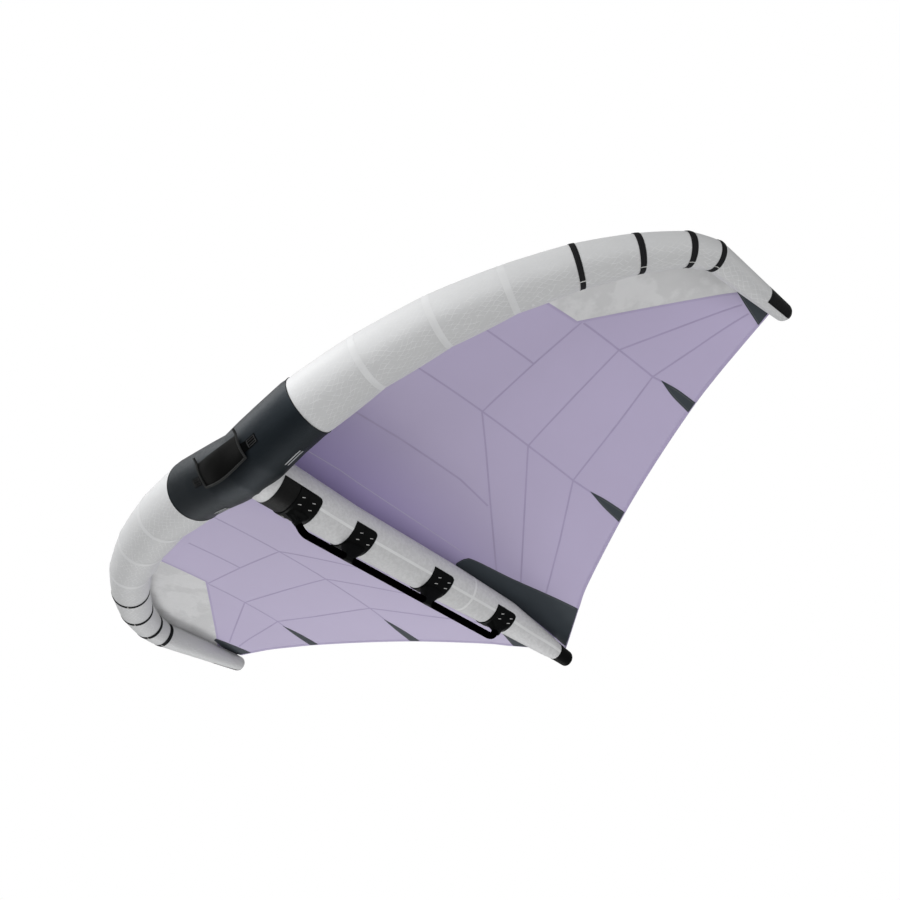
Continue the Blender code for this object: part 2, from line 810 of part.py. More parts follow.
def corner_patch(name, corners, rows, columns, side, finish):
    """Sheet under the canopy inside four corners on it: front pair, then rear pair."""
    front_in, front_out, rear_in, rear_out = (Vector(corner) for corner in corners)
    lift = -PATCH_GAP - PATCH_WALL

    def grid(extra):
        made = []
        for along in steps(0, 1, rows):
            near, far = front_in.lerp(rear_in, along), front_out.lerp(rear_out, along)
            spots = [near.lerp(far, across) for across in steps(0, 1, columns)]
            made.append([canopy_point(side * place, share, lift + extra) for place, share in spots])
        return made

    return add_slab(name, grid(0), grid(PATCH_WALL), finish)


def strut_patch(side, hand):
    """Large patch under the canopy beside the strut's tail, on the canopy's own rows."""
    shares = row_shares(tip_panel_share(0))[STRUT_PATCH_FIRST_ROW:-1]

    def grid(lift):
        return [
            [canopy_point(side * place, share, lift) for place in steps(STRUT_PATCH_INNER_PLACE, outer, 4)]
            for share, outer in zip(shares, STRUT_PATCH_OUTER_PLACES)
        ]

    add_slab(f"strut_patch_{hand}", grid(-PATCH_GAP - PATCH_WALL), grid(-PATCH_GAP), "slate_cloth")


def canopy_patches(side, hand):
    """Dark reinforcements sewn under the canopy of one side."""
    strut_patch(side, hand)
    corner_patch(f"tip_patch_{hand}", TIP_PATCH_CORNERS, 3, 2, side, "slate_cloth")
    for label, corners in EDGE_PATCH_CORNERS.items():
        corner_patch(f"edge_patch_{label}_{hand}", corners, 3, 2, side, "slate_cloth")


# Boom and its saddles

def boom_corners():
    """Front end, two bends and rear end of the boom's centre line."""
    front = -BOOM_HALF_RUN - BOOM_FRONT_REACH
    rear = BOOM_HALF_RUN + BOOM_REAR_REACH
    return (
        Vector((0, front, strut_underside(front - NOSE.y) - BOOM_END_INSET)),
        Vector((0, -BOOM_HALF_RUN, 0)),
        Vector((0, BOOM_HALF_RUN, 0)),
        Vector((0, rear, strut_underside(rear - NOSE.y) - BOOM_END_INSET)),
    )


def boom_path():
    """The boom's centre line with its bends as arcs."""
    front, front_bend, rear_bend, rear = boom_corners()
    path = [front]
    for before, corner, after in ((front, front_bend, rear_bend), (front_bend, rear_bend, rear)):
        inward = (before - corner).normalized()
        onward = (after - corner).normalized()
        half = inward.angle(onward) / 2
        centre = corner + (inward + onward).normalized() * BOOM_BEND_RADIUS / math.sin(half)
        first = corner + inward * BOOM_BEND_RADIUS / math.tan(half) - centre
        last = corner + onward * BOOM_BEND_RADIUS / math.tan(half) - centre
        path += [centre + first.slerp(last, share) * BOOM_BEND_RADIUS for share in steps(0, 1, 4)]
    return path + [rear]


def boom():
    """Round tube bent up at both ends."""
    path = boom_path()
    outer, inner = [], []
    for index, point in enumerate(path):
        before = path[max(index - 1, 0)]
        after = path[min(index + 1, len(path) - 1)]
        normal = (after - before).normalized().cross(Vector((1, 0, 0)))
        turns = [math.tau * k / BOOM_SIDES for k in range(BOOM_SIDES)]
        for rows, reach in ((outer, BOOM_RADIUS), (inner, BOOM_RADIUS - BOOM_WALL)):
            rows.append([
                point + Vector((1, 0, 0)) * reach * math.cos(turn) + normal * reach * math.sin(turn)
                for turn in turns
            ])
    add_shell("boom", outer, inner, "black_boom")


def strut_skin(name, first, last, lift, wall, finish):
    """Sheet under the strut between two distances, over the saddles' angles."""
    backs = strut_stations(first, last)
    angles = facet_angles(*SADDLE_ANGLES)
    lower = [[strut_point(back, angle, lift) for angle in angles] for back in backs]
    upper = [[strut_point(back, angle, lift + wall) for angle in angles] for back in backs]
    return add_slab(name, lower, upper, finish)


def strut_clearance():
    """Solid of the strut with a little less than the fitting gap, which trims the saddles."""
    backs = strut_stations(FRONT_PATCH_START, STRUT_LENGTH - STRUT_CAP_LENGTH)
    return add_solid("strut_clearance", strut_rows(backs, CLEAR * 2 / 3), "clear_film")


def saddle_web(plate, middle, low, low_length):
    """Tapered web from under a saddle down to a rounded foot at the low point."""
    grip = BOOM_RADIUS + SOCKET_WALL
    top = strut_underside(middle - NOSE.y) + SADDLE_PLATE
    foot = [
        (-grip * math.cos(turn), low.z - grip * math.sin(turn)) for turn in steps(0, math.pi, 8)
    ]
    outline = [(-WEB_TOP_WIDTH / 2, top), *foot, (WEB_TOP_WIDTH / 2, top)]

    def row(end):
        points = []
        for x, z in outline:
            share = max(z - low.z, 0.0) / (top - low.z)
            half = (low_length + (WEB_TOP_LENGTH - low_length) * share) / 2
            centre = low.y + (middle - low.y) * share
            points.append(Vector((x, centre + end * half, z)))
        return points

    combine(plate, add_solid(f"{plate.name}_web", [row(-1), row(1)], "black_rubber"), "UNION")


def saddle_socket(plate, middle, end, bend):
    """Web and boss on a saddle that the boom's end plugs into; returns the bore."""
    along = (bend - end).normalized()
    root = end - along * BOOM_RADIUS
    tip = end + along * SOCKET_DEPTH
    saddle_web(plate, middle, end + along * SOCKET_WEB_REACH, SOCKET_WEB_LOW_LENGTH)
    boss = add_rod(f"{plate.name}_boss", root, tip, BOOM_RADIUS + SOCKET_WALL, "black_rubber")
    combine(plate, boss, "UNION")
    return add_rod(f"{plate.name}_bore", end - along * CLEAR, tip + along * BOOM_RADIUS,
                   BOOM_RADIUS + CLEAR, "black_rubber", BOOM_SIDES)


def saddle_hanger(plate, middle):
    """Web that comes down from a saddle and holds the boom's straight run; returns the bore."""
    centre = Vector((0, middle, 0))
    saddle_web(plate, middle, centre, WEB_LOW_LENGTH)
    reach = Vector((0, SADDLE_LENGTH / 2, 0))
    return add_rod(f"{plate.name}_bore", centre - reach, centre + reach, BOOM_RADIUS + CLEAR,
                   "black_rubber", BOOM_SIDES)


def boom_saddles():
    """Four moulded saddles under the strut that carry the boom."""
    front, front_bend, rear_bend, rear = boom_corners()
    clearance = strut_clearance()
    middles = {label: BOOM_HALF_RUN * share for label, share in HANGER_SHARES.items()}
    middles |= {"front": front.y + FRONT_SOCKET_INSET, "rear": rear.y - REAR_SOCKET_INSET}
    for label, middle in middles.items():
        first, last = (middle - NOSE.y + step * SADDLE_LENGTH / 2 for step in (-1, 1))
        name = f"boom_saddle_{label}"
        plate = strut_skin(name, first, last, CLEAR, SADDLE_PLATE, "black_rubber")
        if label == "front":
            bore = saddle_socket(plate, middle, front, front_bend)
        elif label == "rear":
            bore = saddle_socket(plate, middle, rear, rear_bend)
        else:
            bore = saddle_hanger(plate, middle)
        combine(plate, clearance, "DIFFERENCE")
        combine(plate, bore, "DIFFERENCE")
    front_edge = middles["front"] - NOSE.y - SADDLE_LENGTH / 2 - CLEAR
    strut_skin("boom_front_patch", FRONT_PATCH_START, front_edge, CLEAR, PATCH_WALL, "dark_cloth")


# Grab handle

def handle_axis():
    """Middle of the line through the handle's two ends, on which it rocks."""
    angle = sum(TAB_ANGLES) / 2
    ends = [tube_point_at(step * HANDLE_LENGTH / 2, angle, HANDLE_END_LIFT) for step in (-1, 1)]
    return (ends[0] + ends[1]) / 2


def handle_band():
    """Stiffened grip band, bowed off the nose."""
    spans = steps(-HANDLE_LENGTH / 2, HANDLE_LENGTH / 2, 12)
    angles = steps(*HANDLE_ANGLES, 4)

    def grid(extra):
        rows = []
        for span in spans:
            bow = HANDLE_BOW * math.cos(math.pi * span / HANDLE_LENGTH)
            lift = HANDLE_END_LIFT + bow + extra
            rows.append([tube_point_at(span, angle, lift) for angle in angles])
        return rows

    add_slab("handle_band", grid(0), grid(HANDLE_THICK), "black_webbing", origin=handle_axis())


def handle_tabs():
    """Webbing tabs stitched to the wrap; each rises to an end of the handle."""
    angles = facet_angles(*TAB_ANGLES)
    gap = HANDLE_LENGTH / 2 + CLEAR
    for side, hand in ((1, "right"), (-1, "left")):
        profile = (
            (gap, HANDLE_END_LIFT + (HANDLE_THICK - TAB_WALL) / 2),
            (TAB_START, CLEAR),
            (TAB_START + TAB_LENGTH, CLEAR),
        )
        lower = [[tube_point_at(side * span, a, lift) for a in angles] for span, lift in profile]
        upper = [
            [tube_point_at(side * span, a, lift + TAB_WALL) for a in angles]
            for span, lift in profile
        ]
        add_slab(f"handle_tab_{hand}", lower, upper, "black_webbing")


def access_welts():
    """Welted slits in the wrap beside the strut, over the one-pump hose."""
    angles = facet_angles(*WELT_ANGLES)
    for side, hand in ((1, "right"), (-1, "left")):
        places = [side * place for place in WELT_PLACES]
        tube_skin(f"access_welt_{hand}", places, angles, CLEAR, WELT_WALL, "grey_cloth")


# Inflation valve

def valve_frame():
    """Frame on the middle of a flat side of the bladder, left of the strut; Z points out."""
    lift = -(CASING_WALL + CLEAR + BLADDER_WALL)
    turn = 360 / BLADDER_SIDES
    near, far = -VALVE_RING, -VALVE_RING - 1
    loop = ((near, 0), (far, 0), (far, turn), (near, turn))
    corners = [tube_point(place, angle, lift) for place, angle in loop]
    middle = sum(corners, Vector()) / len(corners)
    normal = (corners[2] - corners[0]).cross(corners[3] - corners[1]).normalized()
    centre = RINGS[VALVE_RING][0]
    inside = Vector((-centre.x, centre.y, centre.z)) + NOSE
    if normal.dot(middle - inside) < 0:
        normal = -normal
    along = (corners[1] - corners[0]).normalized()
    along = (along - normal * along.dot(normal)).normalized()
    across = normal.cross(along)
    frame = Matrix((along, across, normal)).transposed().to_4x4()
    return Matrix.Translation(middle) @ frame


def valve_levels():
    """Heights above the bladder's inner face: casing surface and top of the valve stem."""
    radius = tube_radius(VALVE_RING + 0.5)
    inner = radius - CASING_WALL - CLEAR - BLADDER_WALL
    surface = radius - inner * math.cos(math.pi / BLADDER_SIDES)
    return surface, surface + VALVE_STAND


def valve_base(frame):
    """Ring welded in the bladder whose stem comes out through the casing."""
    _, top = valve_levels()
    low = -VALVE_FLANGE_GAP
    add_turned("valve_base", (
        (VALVE_BORE_RADIUS, low - VALVE_FLANGE_WALL),
        (VALVE_FLANGE_RADIUS, low - VALVE_FLANGE_WALL),
        (VALVE_FLANGE_RADIUS, low),
        (VALVE_STEM_RADIUS, low),
        (VALVE_STEM_RADIUS, top),
        (VALVE_BORE_RADIUS, top),
    ), frame, "valve_plastic")


def hinge_frame(frame):
    """Frame on the cap's hinge axis; its Y runs along the pin."""
    _, top = valve_levels()
    height = top + 2 * CLEAR + INSERT_RIM_WALL + KNUCKLE_RADIUS
    return frame @ Matrix.Translation((HINGE_REACH, 0, height))


def valve_insert(frame):
    """Check valve body that turns in the base, with the ears of the cap's hinge."""
    _, top = valve_levels()
    seat = top + CLEAR
    body = VALVE_BORE_RADIUS - CLEAR
    bore = body - INSERT_WALL
    insert = add_turned("valve_insert", (
        (bore, top - INSERT_DEPTH),
        (body, top - INSERT_DEPTH),
        (body, seat),
        (INSERT_RIM_RADIUS, seat),
        (INSERT_RIM_RADIUS, seat + INSERT_RIM_WALL),
        (bore, seat + INSERT_RIM_WALL),
    ), frame, "valve_plastic", frame.translation)
    reach = HINGE_REACH + KNUCKLE_RADIUS
    root = INSERT_RIM_RADIUS - KNUCKLE_RADIUS
    ear_height = 2 * KNUCKLE_RADIUS + CLEAR + INSERT_RIM_WALL
    offset = (KNUCKLE_WIDTH + EAR_WIDTH) / 2 + CLEAR
    pieces = (
        ("valve_insert_lug", 0, 2 * offset + EAR_WIDTH, INSERT_RIM_WALL, root),
        ("valve_insert_ear_1", offset, EAR_WIDTH, ear_height, HINGE_REACH - KNUCKLE_RADIUS),
        ("valve_insert_ear_2", -offset, EAR_WIDTH, ear_height, HINGE_REACH - KNUCKLE_RADIUS),
    )
    for name, across, width, height, start in pieces:
        place = frame @ Matrix.Translation(((start + reach) / 2, across, seat + height / 2))
        combine(insert, add_block(name, place, (reach - start, width, height), "valve_plastic"), "UNION")
    return insert


def valve_cap(frame):
    """Plug that closes the insert, hinged at its edge."""
    _, top = valve_levels()
    seat = top + 2 * CLEAR + INSERT_RIM_WALL
    plug = VALVE_BORE_RADIUS - 2 * CLEAR - INSERT_WALL
    hinge = hinge_frame(frame)
    cap = add_turned("valve_cap", (
        (0, seat - CAP_PLUG_DEPTH),
        (plug - CLEAR, seat - CAP_PLUG_DEPTH),
        (plug, seat),
        (CAP_RADIUS, seat),
        (CAP_RADIUS, seat + CAP_WALL),
        (0, seat + CAP_WALL),
    ), frame, "black_rubber", hinge.translation)
    side = hinge.to_3x3() @ Vector((0, KNUCKLE_WIDTH / 2, 0))
    knuckle = add_rod("valve_cap_knuckle", hinge.translation - side, hinge.translation + side,
                      KNUCKLE_RADIUS, "black_rubber", BLADDER_SIDES)
    start = CAP_RADIUS - KNUCKLE_RADIUS
    tongue_place = Matrix.Translation(((start + HINGE_REACH) / 2, 0, seat + KNUCKLE_RADIUS))
    size = (HINGE_REACH - start, KNUCKLE_WIDTH, 2 * KNUCKLE_RADIUS - CLEAR)
    tongue = add_block("valve_cap_tongue", frame @ tongue_place, size, "black_rubber")
    combine(cap, tongue, "UNION")
    combine(cap, knuckle, "UNION")


def stem_bore(name, frame, radius):
    """Cutter along the valve's axis."""
    start = frame @ Vector((0, 0, -VALVE_FLANGE_RADIUS))
    end = frame @ Vector((0, 0, VALVE_FLANGE_RADIUS))
    return add_rod(name, start, end, radius, "clear_film")


def main():
    """Build the wing."""
    for old in list(bpy.data.objects):
        bpy.data.objects.remove(old, do_unlink=True)
    frame = valve_frame()
    wrap = leading_casing()
    combine(wrap, hose_bore("wrap_hose_bore"), "DIFFERENCE")
    combine(wrap, stem_bore("wrap_valve_bore", frame, VALVE_STEM_RADIUS + VALVE_HOLE_MARGIN), "DIFFERENCE")
    bladder = leading_bladder()
    combine(bladder, hose_bore("bladder_hose_bore"), "DIFFERENCE")
    combine(bladder, stem_bore("bladder_valve_bore", frame, VALVE_STEM_RADIUS + CLEAR), "DIFFERENCE")
    combine(strut_bladder(), hose_bore("strut_hose_bore"), "DIFFERENCE")
    transfer_hose()
    seam_bands()
    scuff_caps()
    strut_casing()
    strut_end_cap()
    for side, hand in ((1, "right"), (-1, "left")):
        canopy_panels(side, hand)
        canopy_patches(side, hand)
    boom()
    boom_saddles()
    handle_band()
    handle_tabs()
    access_welts()
    valve_base(frame)
    valve_insert(frame)
    valve_cap(frame)


main()
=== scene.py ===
"""Looks of the wingfoil wing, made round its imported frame.

Metres, in the frame's own axes: +X to the right tip, +Y from the nose to the tail, +Z up. The wing's
shape is worked out as in the part: rings along the leading edge, ribs of the canopy, and the strut's
line, all from the nose datum. Places past LAST_RING follow the round end of the tip.
"""
import json
import math

import bmesh
import bpy
from mathutils import Matrix, Vector


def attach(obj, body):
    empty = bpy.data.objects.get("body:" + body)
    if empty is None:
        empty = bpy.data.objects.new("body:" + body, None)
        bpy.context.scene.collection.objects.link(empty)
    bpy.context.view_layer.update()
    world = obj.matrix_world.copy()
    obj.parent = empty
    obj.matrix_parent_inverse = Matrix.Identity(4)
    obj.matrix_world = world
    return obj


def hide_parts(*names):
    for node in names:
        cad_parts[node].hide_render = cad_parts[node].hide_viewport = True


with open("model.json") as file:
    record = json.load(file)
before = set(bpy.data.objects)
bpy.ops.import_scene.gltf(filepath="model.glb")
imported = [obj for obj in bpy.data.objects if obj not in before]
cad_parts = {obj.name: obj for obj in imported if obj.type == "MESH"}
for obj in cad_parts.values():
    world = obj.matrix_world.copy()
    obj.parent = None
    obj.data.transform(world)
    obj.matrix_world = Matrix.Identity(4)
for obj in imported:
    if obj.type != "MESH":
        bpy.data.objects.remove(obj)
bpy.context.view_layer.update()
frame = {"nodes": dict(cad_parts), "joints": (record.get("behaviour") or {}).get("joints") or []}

# Sizes that the part has too
HALF_SPAN = 1.65
TIP_BACK = 1.2227
TIP_RISE = 0.461
NOSE_RADIUS = 0.130
ROOT_CHORD = 1.764
TRAIL_RISE = 0.479
BOOM_DROP = 0.154
BOOM_BEND_BACK = 0.3115
STRUT_LENGTH = 1.775
STRUT_RADIUS = 0.1005
STRUT_RISE = 0.0203
STRUT_TAIL_DROP = 0.0766
STRUT_SEAM_BACK = 1.150
STRUT_CAP_LENGTH = 0.080
CENTRE_SEAT = 0.0015
CENTRE_BLEND = 0.60
HUG_FROM = 0.160
HUG_TO_SHARE = 0.7843
CLEAR = 0.0003
BOOM_GRIP_RADIUS = 0.0148
BOOM_HALF_RUN = 0.4985
BOOM_BEND_RADIUS = 0.045
BOOM_FRONT_REACH = 0.0495
BOOM_REAR_REACH = 0.0415
BOOM_END_INSET = 0.0125
FRONT_SOCKET_INSET = 0.0131
REAR_SOCKET_INSET = 0.0101
HANGER_SHARES = {"second": -0.5065, "third": 0.329}
SADDLE_LENGTH = 0.110
FRONT_PATCH_START = 0.137
HANDLE_LENGTH = 0.224
HANDLE_END_LIFT = 0.012
HANDLE_BOW = 0.020
HANDLE_ANGLES = (-166, -126)
TAB_ANGLES = (-148, -133)
TAB_START = 0.140
TAB_LENGTH = 0.046
WRAP_END = 3.09
SEAM_BAND_HALF_WIDTHS = (0.0104, 0.0114, 0.0122, 0.0118)
FIRST_BAND_RING = 7
TIP_PANEL_RING = 6
TIP_PANEL_CORNER_SHARE = 0.36656
TIP_PANEL_SEAM_END = 10.7173
TIP_PANEL_LAST = 10.69
CANOPY_LAST = 10.95
SCUFF_START = 10.71
GRIP_CORD_OVER = 7.0
CAP_CORNER = 0.016

NOSE = Vector((0, -BOOM_BEND_BACK - BOOM_HALF_RUN, BOOM_DROP))
UP = Vector((0, 0, 1))

# Leading edge rings as shares of half span, tip back, tip rise and nose radius
LEADING_RING_SHARES = (
    (0.0000, 0.0184, 0.0616, 1.000),
    (0.0625, 0.0140, 0.0928, 0.988),
    (0.1250, 0.0164, 0.1473, 0.969),
    (0.1900, 0.0245, 0.2139, 0.968),
    (0.3758, 0.0638, 0.3514, 0.869),
    (0.5436, 0.1325, 0.4859, 0.800),
    (0.6945, 0.2192, 0.5944, 0.703),
    (0.8194, 0.3296, 0.7223, 0.637),
    (0.9197, 0.4470, 0.8217, 0.558),
    (0.9879, 0.5643, 0.9111, 0.500),
    (1.0115, 0.6506, 0.9458, 0.439),
    (1.0000, 1.0000, 1.0000, 0.270),
)
LAST_RING = len(LEADING_RING_SHARES) - 1

# Trailing edge point of each ring's rib: shares of half span, of the way back from the tip's rings to
# the root chord, and of trail rise
TRAIL_SHARES = (
    (0.0000, 1.0000, 0.0000),
    (0.0624, 0.8745, 0.0438),
    (0.1248, 0.7562, 0.1054),
    (0.1900, 0.6494, 0.1856),
    (0.3758, 0.4235, 0.4008),
    (0.5412, 0.2554, 0.5758),
    (0.6910, 0.1286, 0.7311),
    (0.7820, 0.0742, 0.8273),
    (0.8590, 0.0439, 0.9146),
    (0.9150, 0.0129, 0.9601),
    (0.9480, -0.0073, 0.9820),
    (0.9745, -0.0236, 1.0000),
)
CAMBER_SHARES = (0.010, 0.017, 0.022, 0.026, 0.029, 0.030, 0.030, 0.030, 0.028, 0.026, 0.022, 0.015)
ATTACH_ANGLES = (50, 62, 72, 78, 80, 80, 79, 78, 76, 74, 72, 70)

# Strut rings as shares of strut length, tail drop and front radius
STRUT_RING_SHARES = (
    (0.0000, 0.000, 1.000),
    (0.2907, 0.333, 0.874),
    (0.5810, 0.392, 0.808),
    (0.7843, 0.441, 0.674),
    (0.9296, 0.800, 0.433),
    (1.0000, 1.000, 0.224),
)

# Cloth thicknesses of the looks, and how far inflated sleeves swell between their seams
CLOTH = 0.0008
SLEEVE_SWELL = 0.0022
SEAM_PINCH = 0.0012
SEAM_REACH = 0.012
TUBE_SIDES = 72
SHEET_ALLOWANCE = 0.999

# Seams of one half of the canopy, in plan from the nose datum
CANOPY_SEAMS = (
    ((0.330, 0.240), (0.337, 0.496), (0.335, 0.812), (0.311, 0.988)),
    ((0.624, 0.300), (0.617, 0.658), (0.612, 0.915), (0.611, 1.171), (0.620, 1.290), (0.619, 1.443)),
    ((0.902, 0.385), (0.894, 0.659)),
    ((1.141, 0.672), (1.138, 0.872), (1.137, 1.065), (1.146, 1.120), (1.141, 1.275)),
    ((1.141, 0.663), (0.894, 0.659), (0.615, 0.658), (0.496, 0.796), (0.337, 0.975), (0.115, 1.229), (0.006, 1.350)),
    ((1.559, 1.101), (1.138, 0.872), (0.683, 0.908), (0.611, 0.915), (0.424, 1.087), (0.126, 1.361), (0.006, 1.472)),
    ((1.549, 1.151), (1.137, 1.065), (0.920, 1.114), (0.611, 1.171), (0.379, 1.335), (0.155, 1.482), (0.006, 1.580)),
)
STRUT_STITCH_LINE = ((0.103, 0.200), (0.110, 0.381), (0.104, 0.616), (0.095, 1.060))


def between(table, place):
    """Value of a table of numbers at a place between its entries."""
    index = min(int(place), len(table) - 2)
    return table[index] + (table[index + 1] - table[index]) * (place - index)


def smooth_between(table, place):
    """Value on a smooth curve through a table's entries."""
    index = min(int(place), len(table) - 2)
    share = place - index
    here, there = table[index], table[index + 1]
    before = table[index - 1] if index else here - (there - here)
    after = table[index + 2] if index + 2 < len(table) else there + (there - here)
    start = (there - before) / 2
    end = (after - here) / 2
    gap = there - here
    return here + start * share + (3 * gap - 2 * start - end) * share ** 2 \
        + (start + end - 2 * gap) * share ** 3


def steps(first, last, count):
    """Evenly spaced values, both ends included."""
    return [first + (last - first) * k / count for k in range(count + 1)]


def eased(share):
    """Share from 0 to 1 with a soft start and end."""
    share = min(max(share, 0.0), 1.0)
    return share * share * (3 - 2 * share)


# Shape of the wing

def leading_rings():
    """Centre, rear, up and outboard directions and radius of each right-hand ring."""
    centres = [
        Vector((HALF_SPAN * span, TIP_BACK * back, TIP_RISE * rise))
        for span, back, rise, _ in LEADING_RING_SHARES
    ]
    rings = []
    for index, centre in enumerate(centres):
        mirrored = Vector((-centres[1].x, centres[1].y, centres[1].z))
        before = centres[index - 1] if index else mirrored
        after = centres[min(index + 1, LAST_RING)]
        along = (centre - before).normalized() + (after - centre).normalized()
        along.normalize()
        up = (UP - along * along.z).normalized()
        rings.append((centre, up.cross(along), up, along, NOSE_RADIUS * LEADING_RING_SHARES[index][3]))
    return rings


RINGS = leading_rings()
RING_REACHES = [0.0]
for near_ring, far_ring in zip(RINGS, RINGS[1:]):
    RING_REACHES.append(RING_REACHES[-1] + (far_ring[0] - near_ring[0]).length)


def tube_point(place, angle, lift=0.0):
    """Point on the leading edge tube, or lift above it."""
    turn = math.radians(angle)
    ahead = abs(place)

    def on_ring(index, dome=0.0):
        centre, rear, up, along, radius = RINGS[index]
        spoke = rear * math.cos(turn) + up * math.sin(turn)
        return centre + (spoke * math.cos(dome) + along * math.sin(dome)) * (radius + lift)

    if ahead >= LAST_RING:
        point = on_ring(LAST_RING, math.radians(90) * (ahead - LAST_RING))
    else:
        point = on_ring(int(ahead)).lerp(on_ring(int(ahead) + 1), ahead - int(ahead))
    return Vector((math.copysign(point.x, place), point.y, point.z)) + NOSE


def tube_point_at(span, angle, lift=0.0):
    """Point on the leading edge tube at a given distance from the centre plane."""
    index = 0
    while abs(tube_point(index + 1, angle, lift).x) < abs(span):
        index += 1
    near = tube_point(index, angle, lift).x
    far = tube_point(index + 1, angle, lift).x
    place = index + (abs(span) - near) / (far - near)
    return tube_point(math.copysign(place, span), angle, lift)


def tube_reach(place):
    """Distance along the leading edge from its centre to a place."""
    ahead = abs(place)
    if ahead > LAST_RING:
        return RING_REACHES[-1] + (ahead - LAST_RING) * RINGS[-1][4]
    return between(RING_REACHES, ahead)


def tube_radius(place):
    """Radius of the leading edge tube at a place."""
    return between([ring[4] for ring in RINGS], min(abs(place), LAST_RING))


def tube_cloth(place, angle):
    """Cloth coordinates in metres on the leading edge."""
    return math.copysign(tube_reach(place), place), math.radians(angle) * max(tube_radius(place), 0.05)


def strut_at(back):
    """Height above the nose datum and radius of the strut at a distance behind the datum."""
    rings = [
        (STRUT_LENGTH * length, STRUT_RISE - STRUT_TAIL_DROP * drop, STRUT_RADIUS * radius)
        for length, drop, radius in STRUT_RING_SHARES
    ]
    index = 0
    while index < len(rings) - 2 and rings[index + 1][0] < back:
        index += 1
    near, far = rings[index], rings[index + 1]
    share = (back - near[0]) / (far[0] - near[0])
    return near[1] + (far[1] - near[1]) * share, near[2] + (far[2] - near[2]) * share


def strut_point(back, angle, lift=0.0):
    """Point on the strut; angle 0 is to the right, -90 is underneath."""
    height, radius = strut_at(back)
    turn = math.radians(angle)
    reach = radius + lift
    return Vector((reach * math.cos(turn), back, height + reach * math.sin(turn))) + NOSE


def strut_cloth(back, angle):
    """Cloth coordinates in metres on the strut."""
    return back, math.radians(angle) * max(strut_at(back)[1], 0.02)


def strut_underside(back):
    """Height of the strut's lowest line."""
    height, radius = strut_at(back)
    return height - radius + NOSE.z


def trail_point(place):
    """Trailing edge end of the rib at a place."""
    span, back, rise = (smooth_between([row[k] for row in TRAIL_SHARES], place) for k in range(3))
    back = TIP_BACK + (ROOT_CHORD - TIP_BACK) * back
    return Vector((HALF_SPAN * span, back, TRAIL_RISE * rise)) + NOSE


def rib_ends(place):
    """Leading and trailing ends of the canopy's rib."""
    return tube_point(place, smooth_between(ATTACH_ANGLES, place), CLEAR), trail_point(place)


def strut_top(back):
    """Height of the canopy's seam over the strut at a distance behind the nose datum."""
    height, radius = strut_at(back)
    return height + radius + CENTRE_SEAT + NOSE.z


def centre_sag(share):
    """How far the centre seam lies below its straight chord to follow the strut."""
    start, end = rib_ends(0)
    back = start.y + (end.y - start.y) * share
    hug_from = HUG_FROM + NOSE.y
    hug_to = STRUT_LENGTH * HUG_TO_SHARE + NOSE.y
    if back < hug_from:
        level = start.z + (strut_top(HUG_FROM) - start.z) * (back - start.y) / (hug_from - start.y)
    elif back < hug_to:
        level = strut_top(back - NOSE.y)
    else:
        last = strut_top(hug_to - NOSE.y)
        slope = (last - strut_top(hug_to - NOSE.y - CENTRE_SEAT)) / CENTRE_SEAT
        chord = (end.z - last) / (end.y - hug_to)
        reach = back - hug_to
        level = last + slope * reach + (chord - slope) * reach ** 2 / (end.y - hug_to)
    return level - (start.z + (end.z - start.z) * share)


def canopy_point(place, share, lift=0.0):
    """Point on the canopy's underside: rib place and share of the chord from the leading edge."""
    ahead = abs(place)
    start, end = rib_ends(ahead)
    point = start.lerp(end, share)
    camber = smooth_between(CAMBER_SHARES, ahead)
    bulge = (end - start).length * camber * math.sin(math.pi * share)
    pull = max(0.0, 1 - start.x / CENTRE_BLEND) ** 2
    point.z += (1 - pull) * bulge + pull * centre_sag(share) + lift
    point.x = math.copysign(point.x, place)
    return point


def canopy_cloth(place, share):
    """Cloth coordinates in metres on the canopy: its plan."""
    point = canopy_point(place, share)
    return point.x, point.y


def canopy_place(x, y):
    """Rib place and chord share of the canopy over a plan point."""
    low, high = 0.0, float(LAST_RING)
    goal = Vector((x, y, 0)) + NOSE
    for _ in range(24):
        place = (low + high) / 2
        start, end = rib_ends(place)
        chord = end - start
        reach = goal - start
        if chord.x * reach.y - chord.y * reach.x > 0:
            high = place
        else:
            low = place
    flat = Vector((chord.x, chord.y))
    return place, flat.dot(Vector((reach.x, reach.y))) / flat.length_squared


def tip_panel_share(place):
    """Chord share at which the tip panel's inner seam crosses a rib, or would nearer the centre."""
    if place < TIP_PANEL_RING:
        return TIP_PANEL_CORNER_SHARE
    root, tail = (point.xy for point in rib_ends(TIP_PANEL_RING))
    corner = root.lerp(tail, TIP_PANEL_CORNER_SHARE)
    seam = rib_ends(TIP_PANEL_SEAM_END)[0].xy - corner
    start, end = (point.xy for point in rib_ends(place))
    crossing = (corner - start).cross(seam) / (end - start).cross(seam)
    return min(max(crossing, 0.0), 1.0)


# Shaders

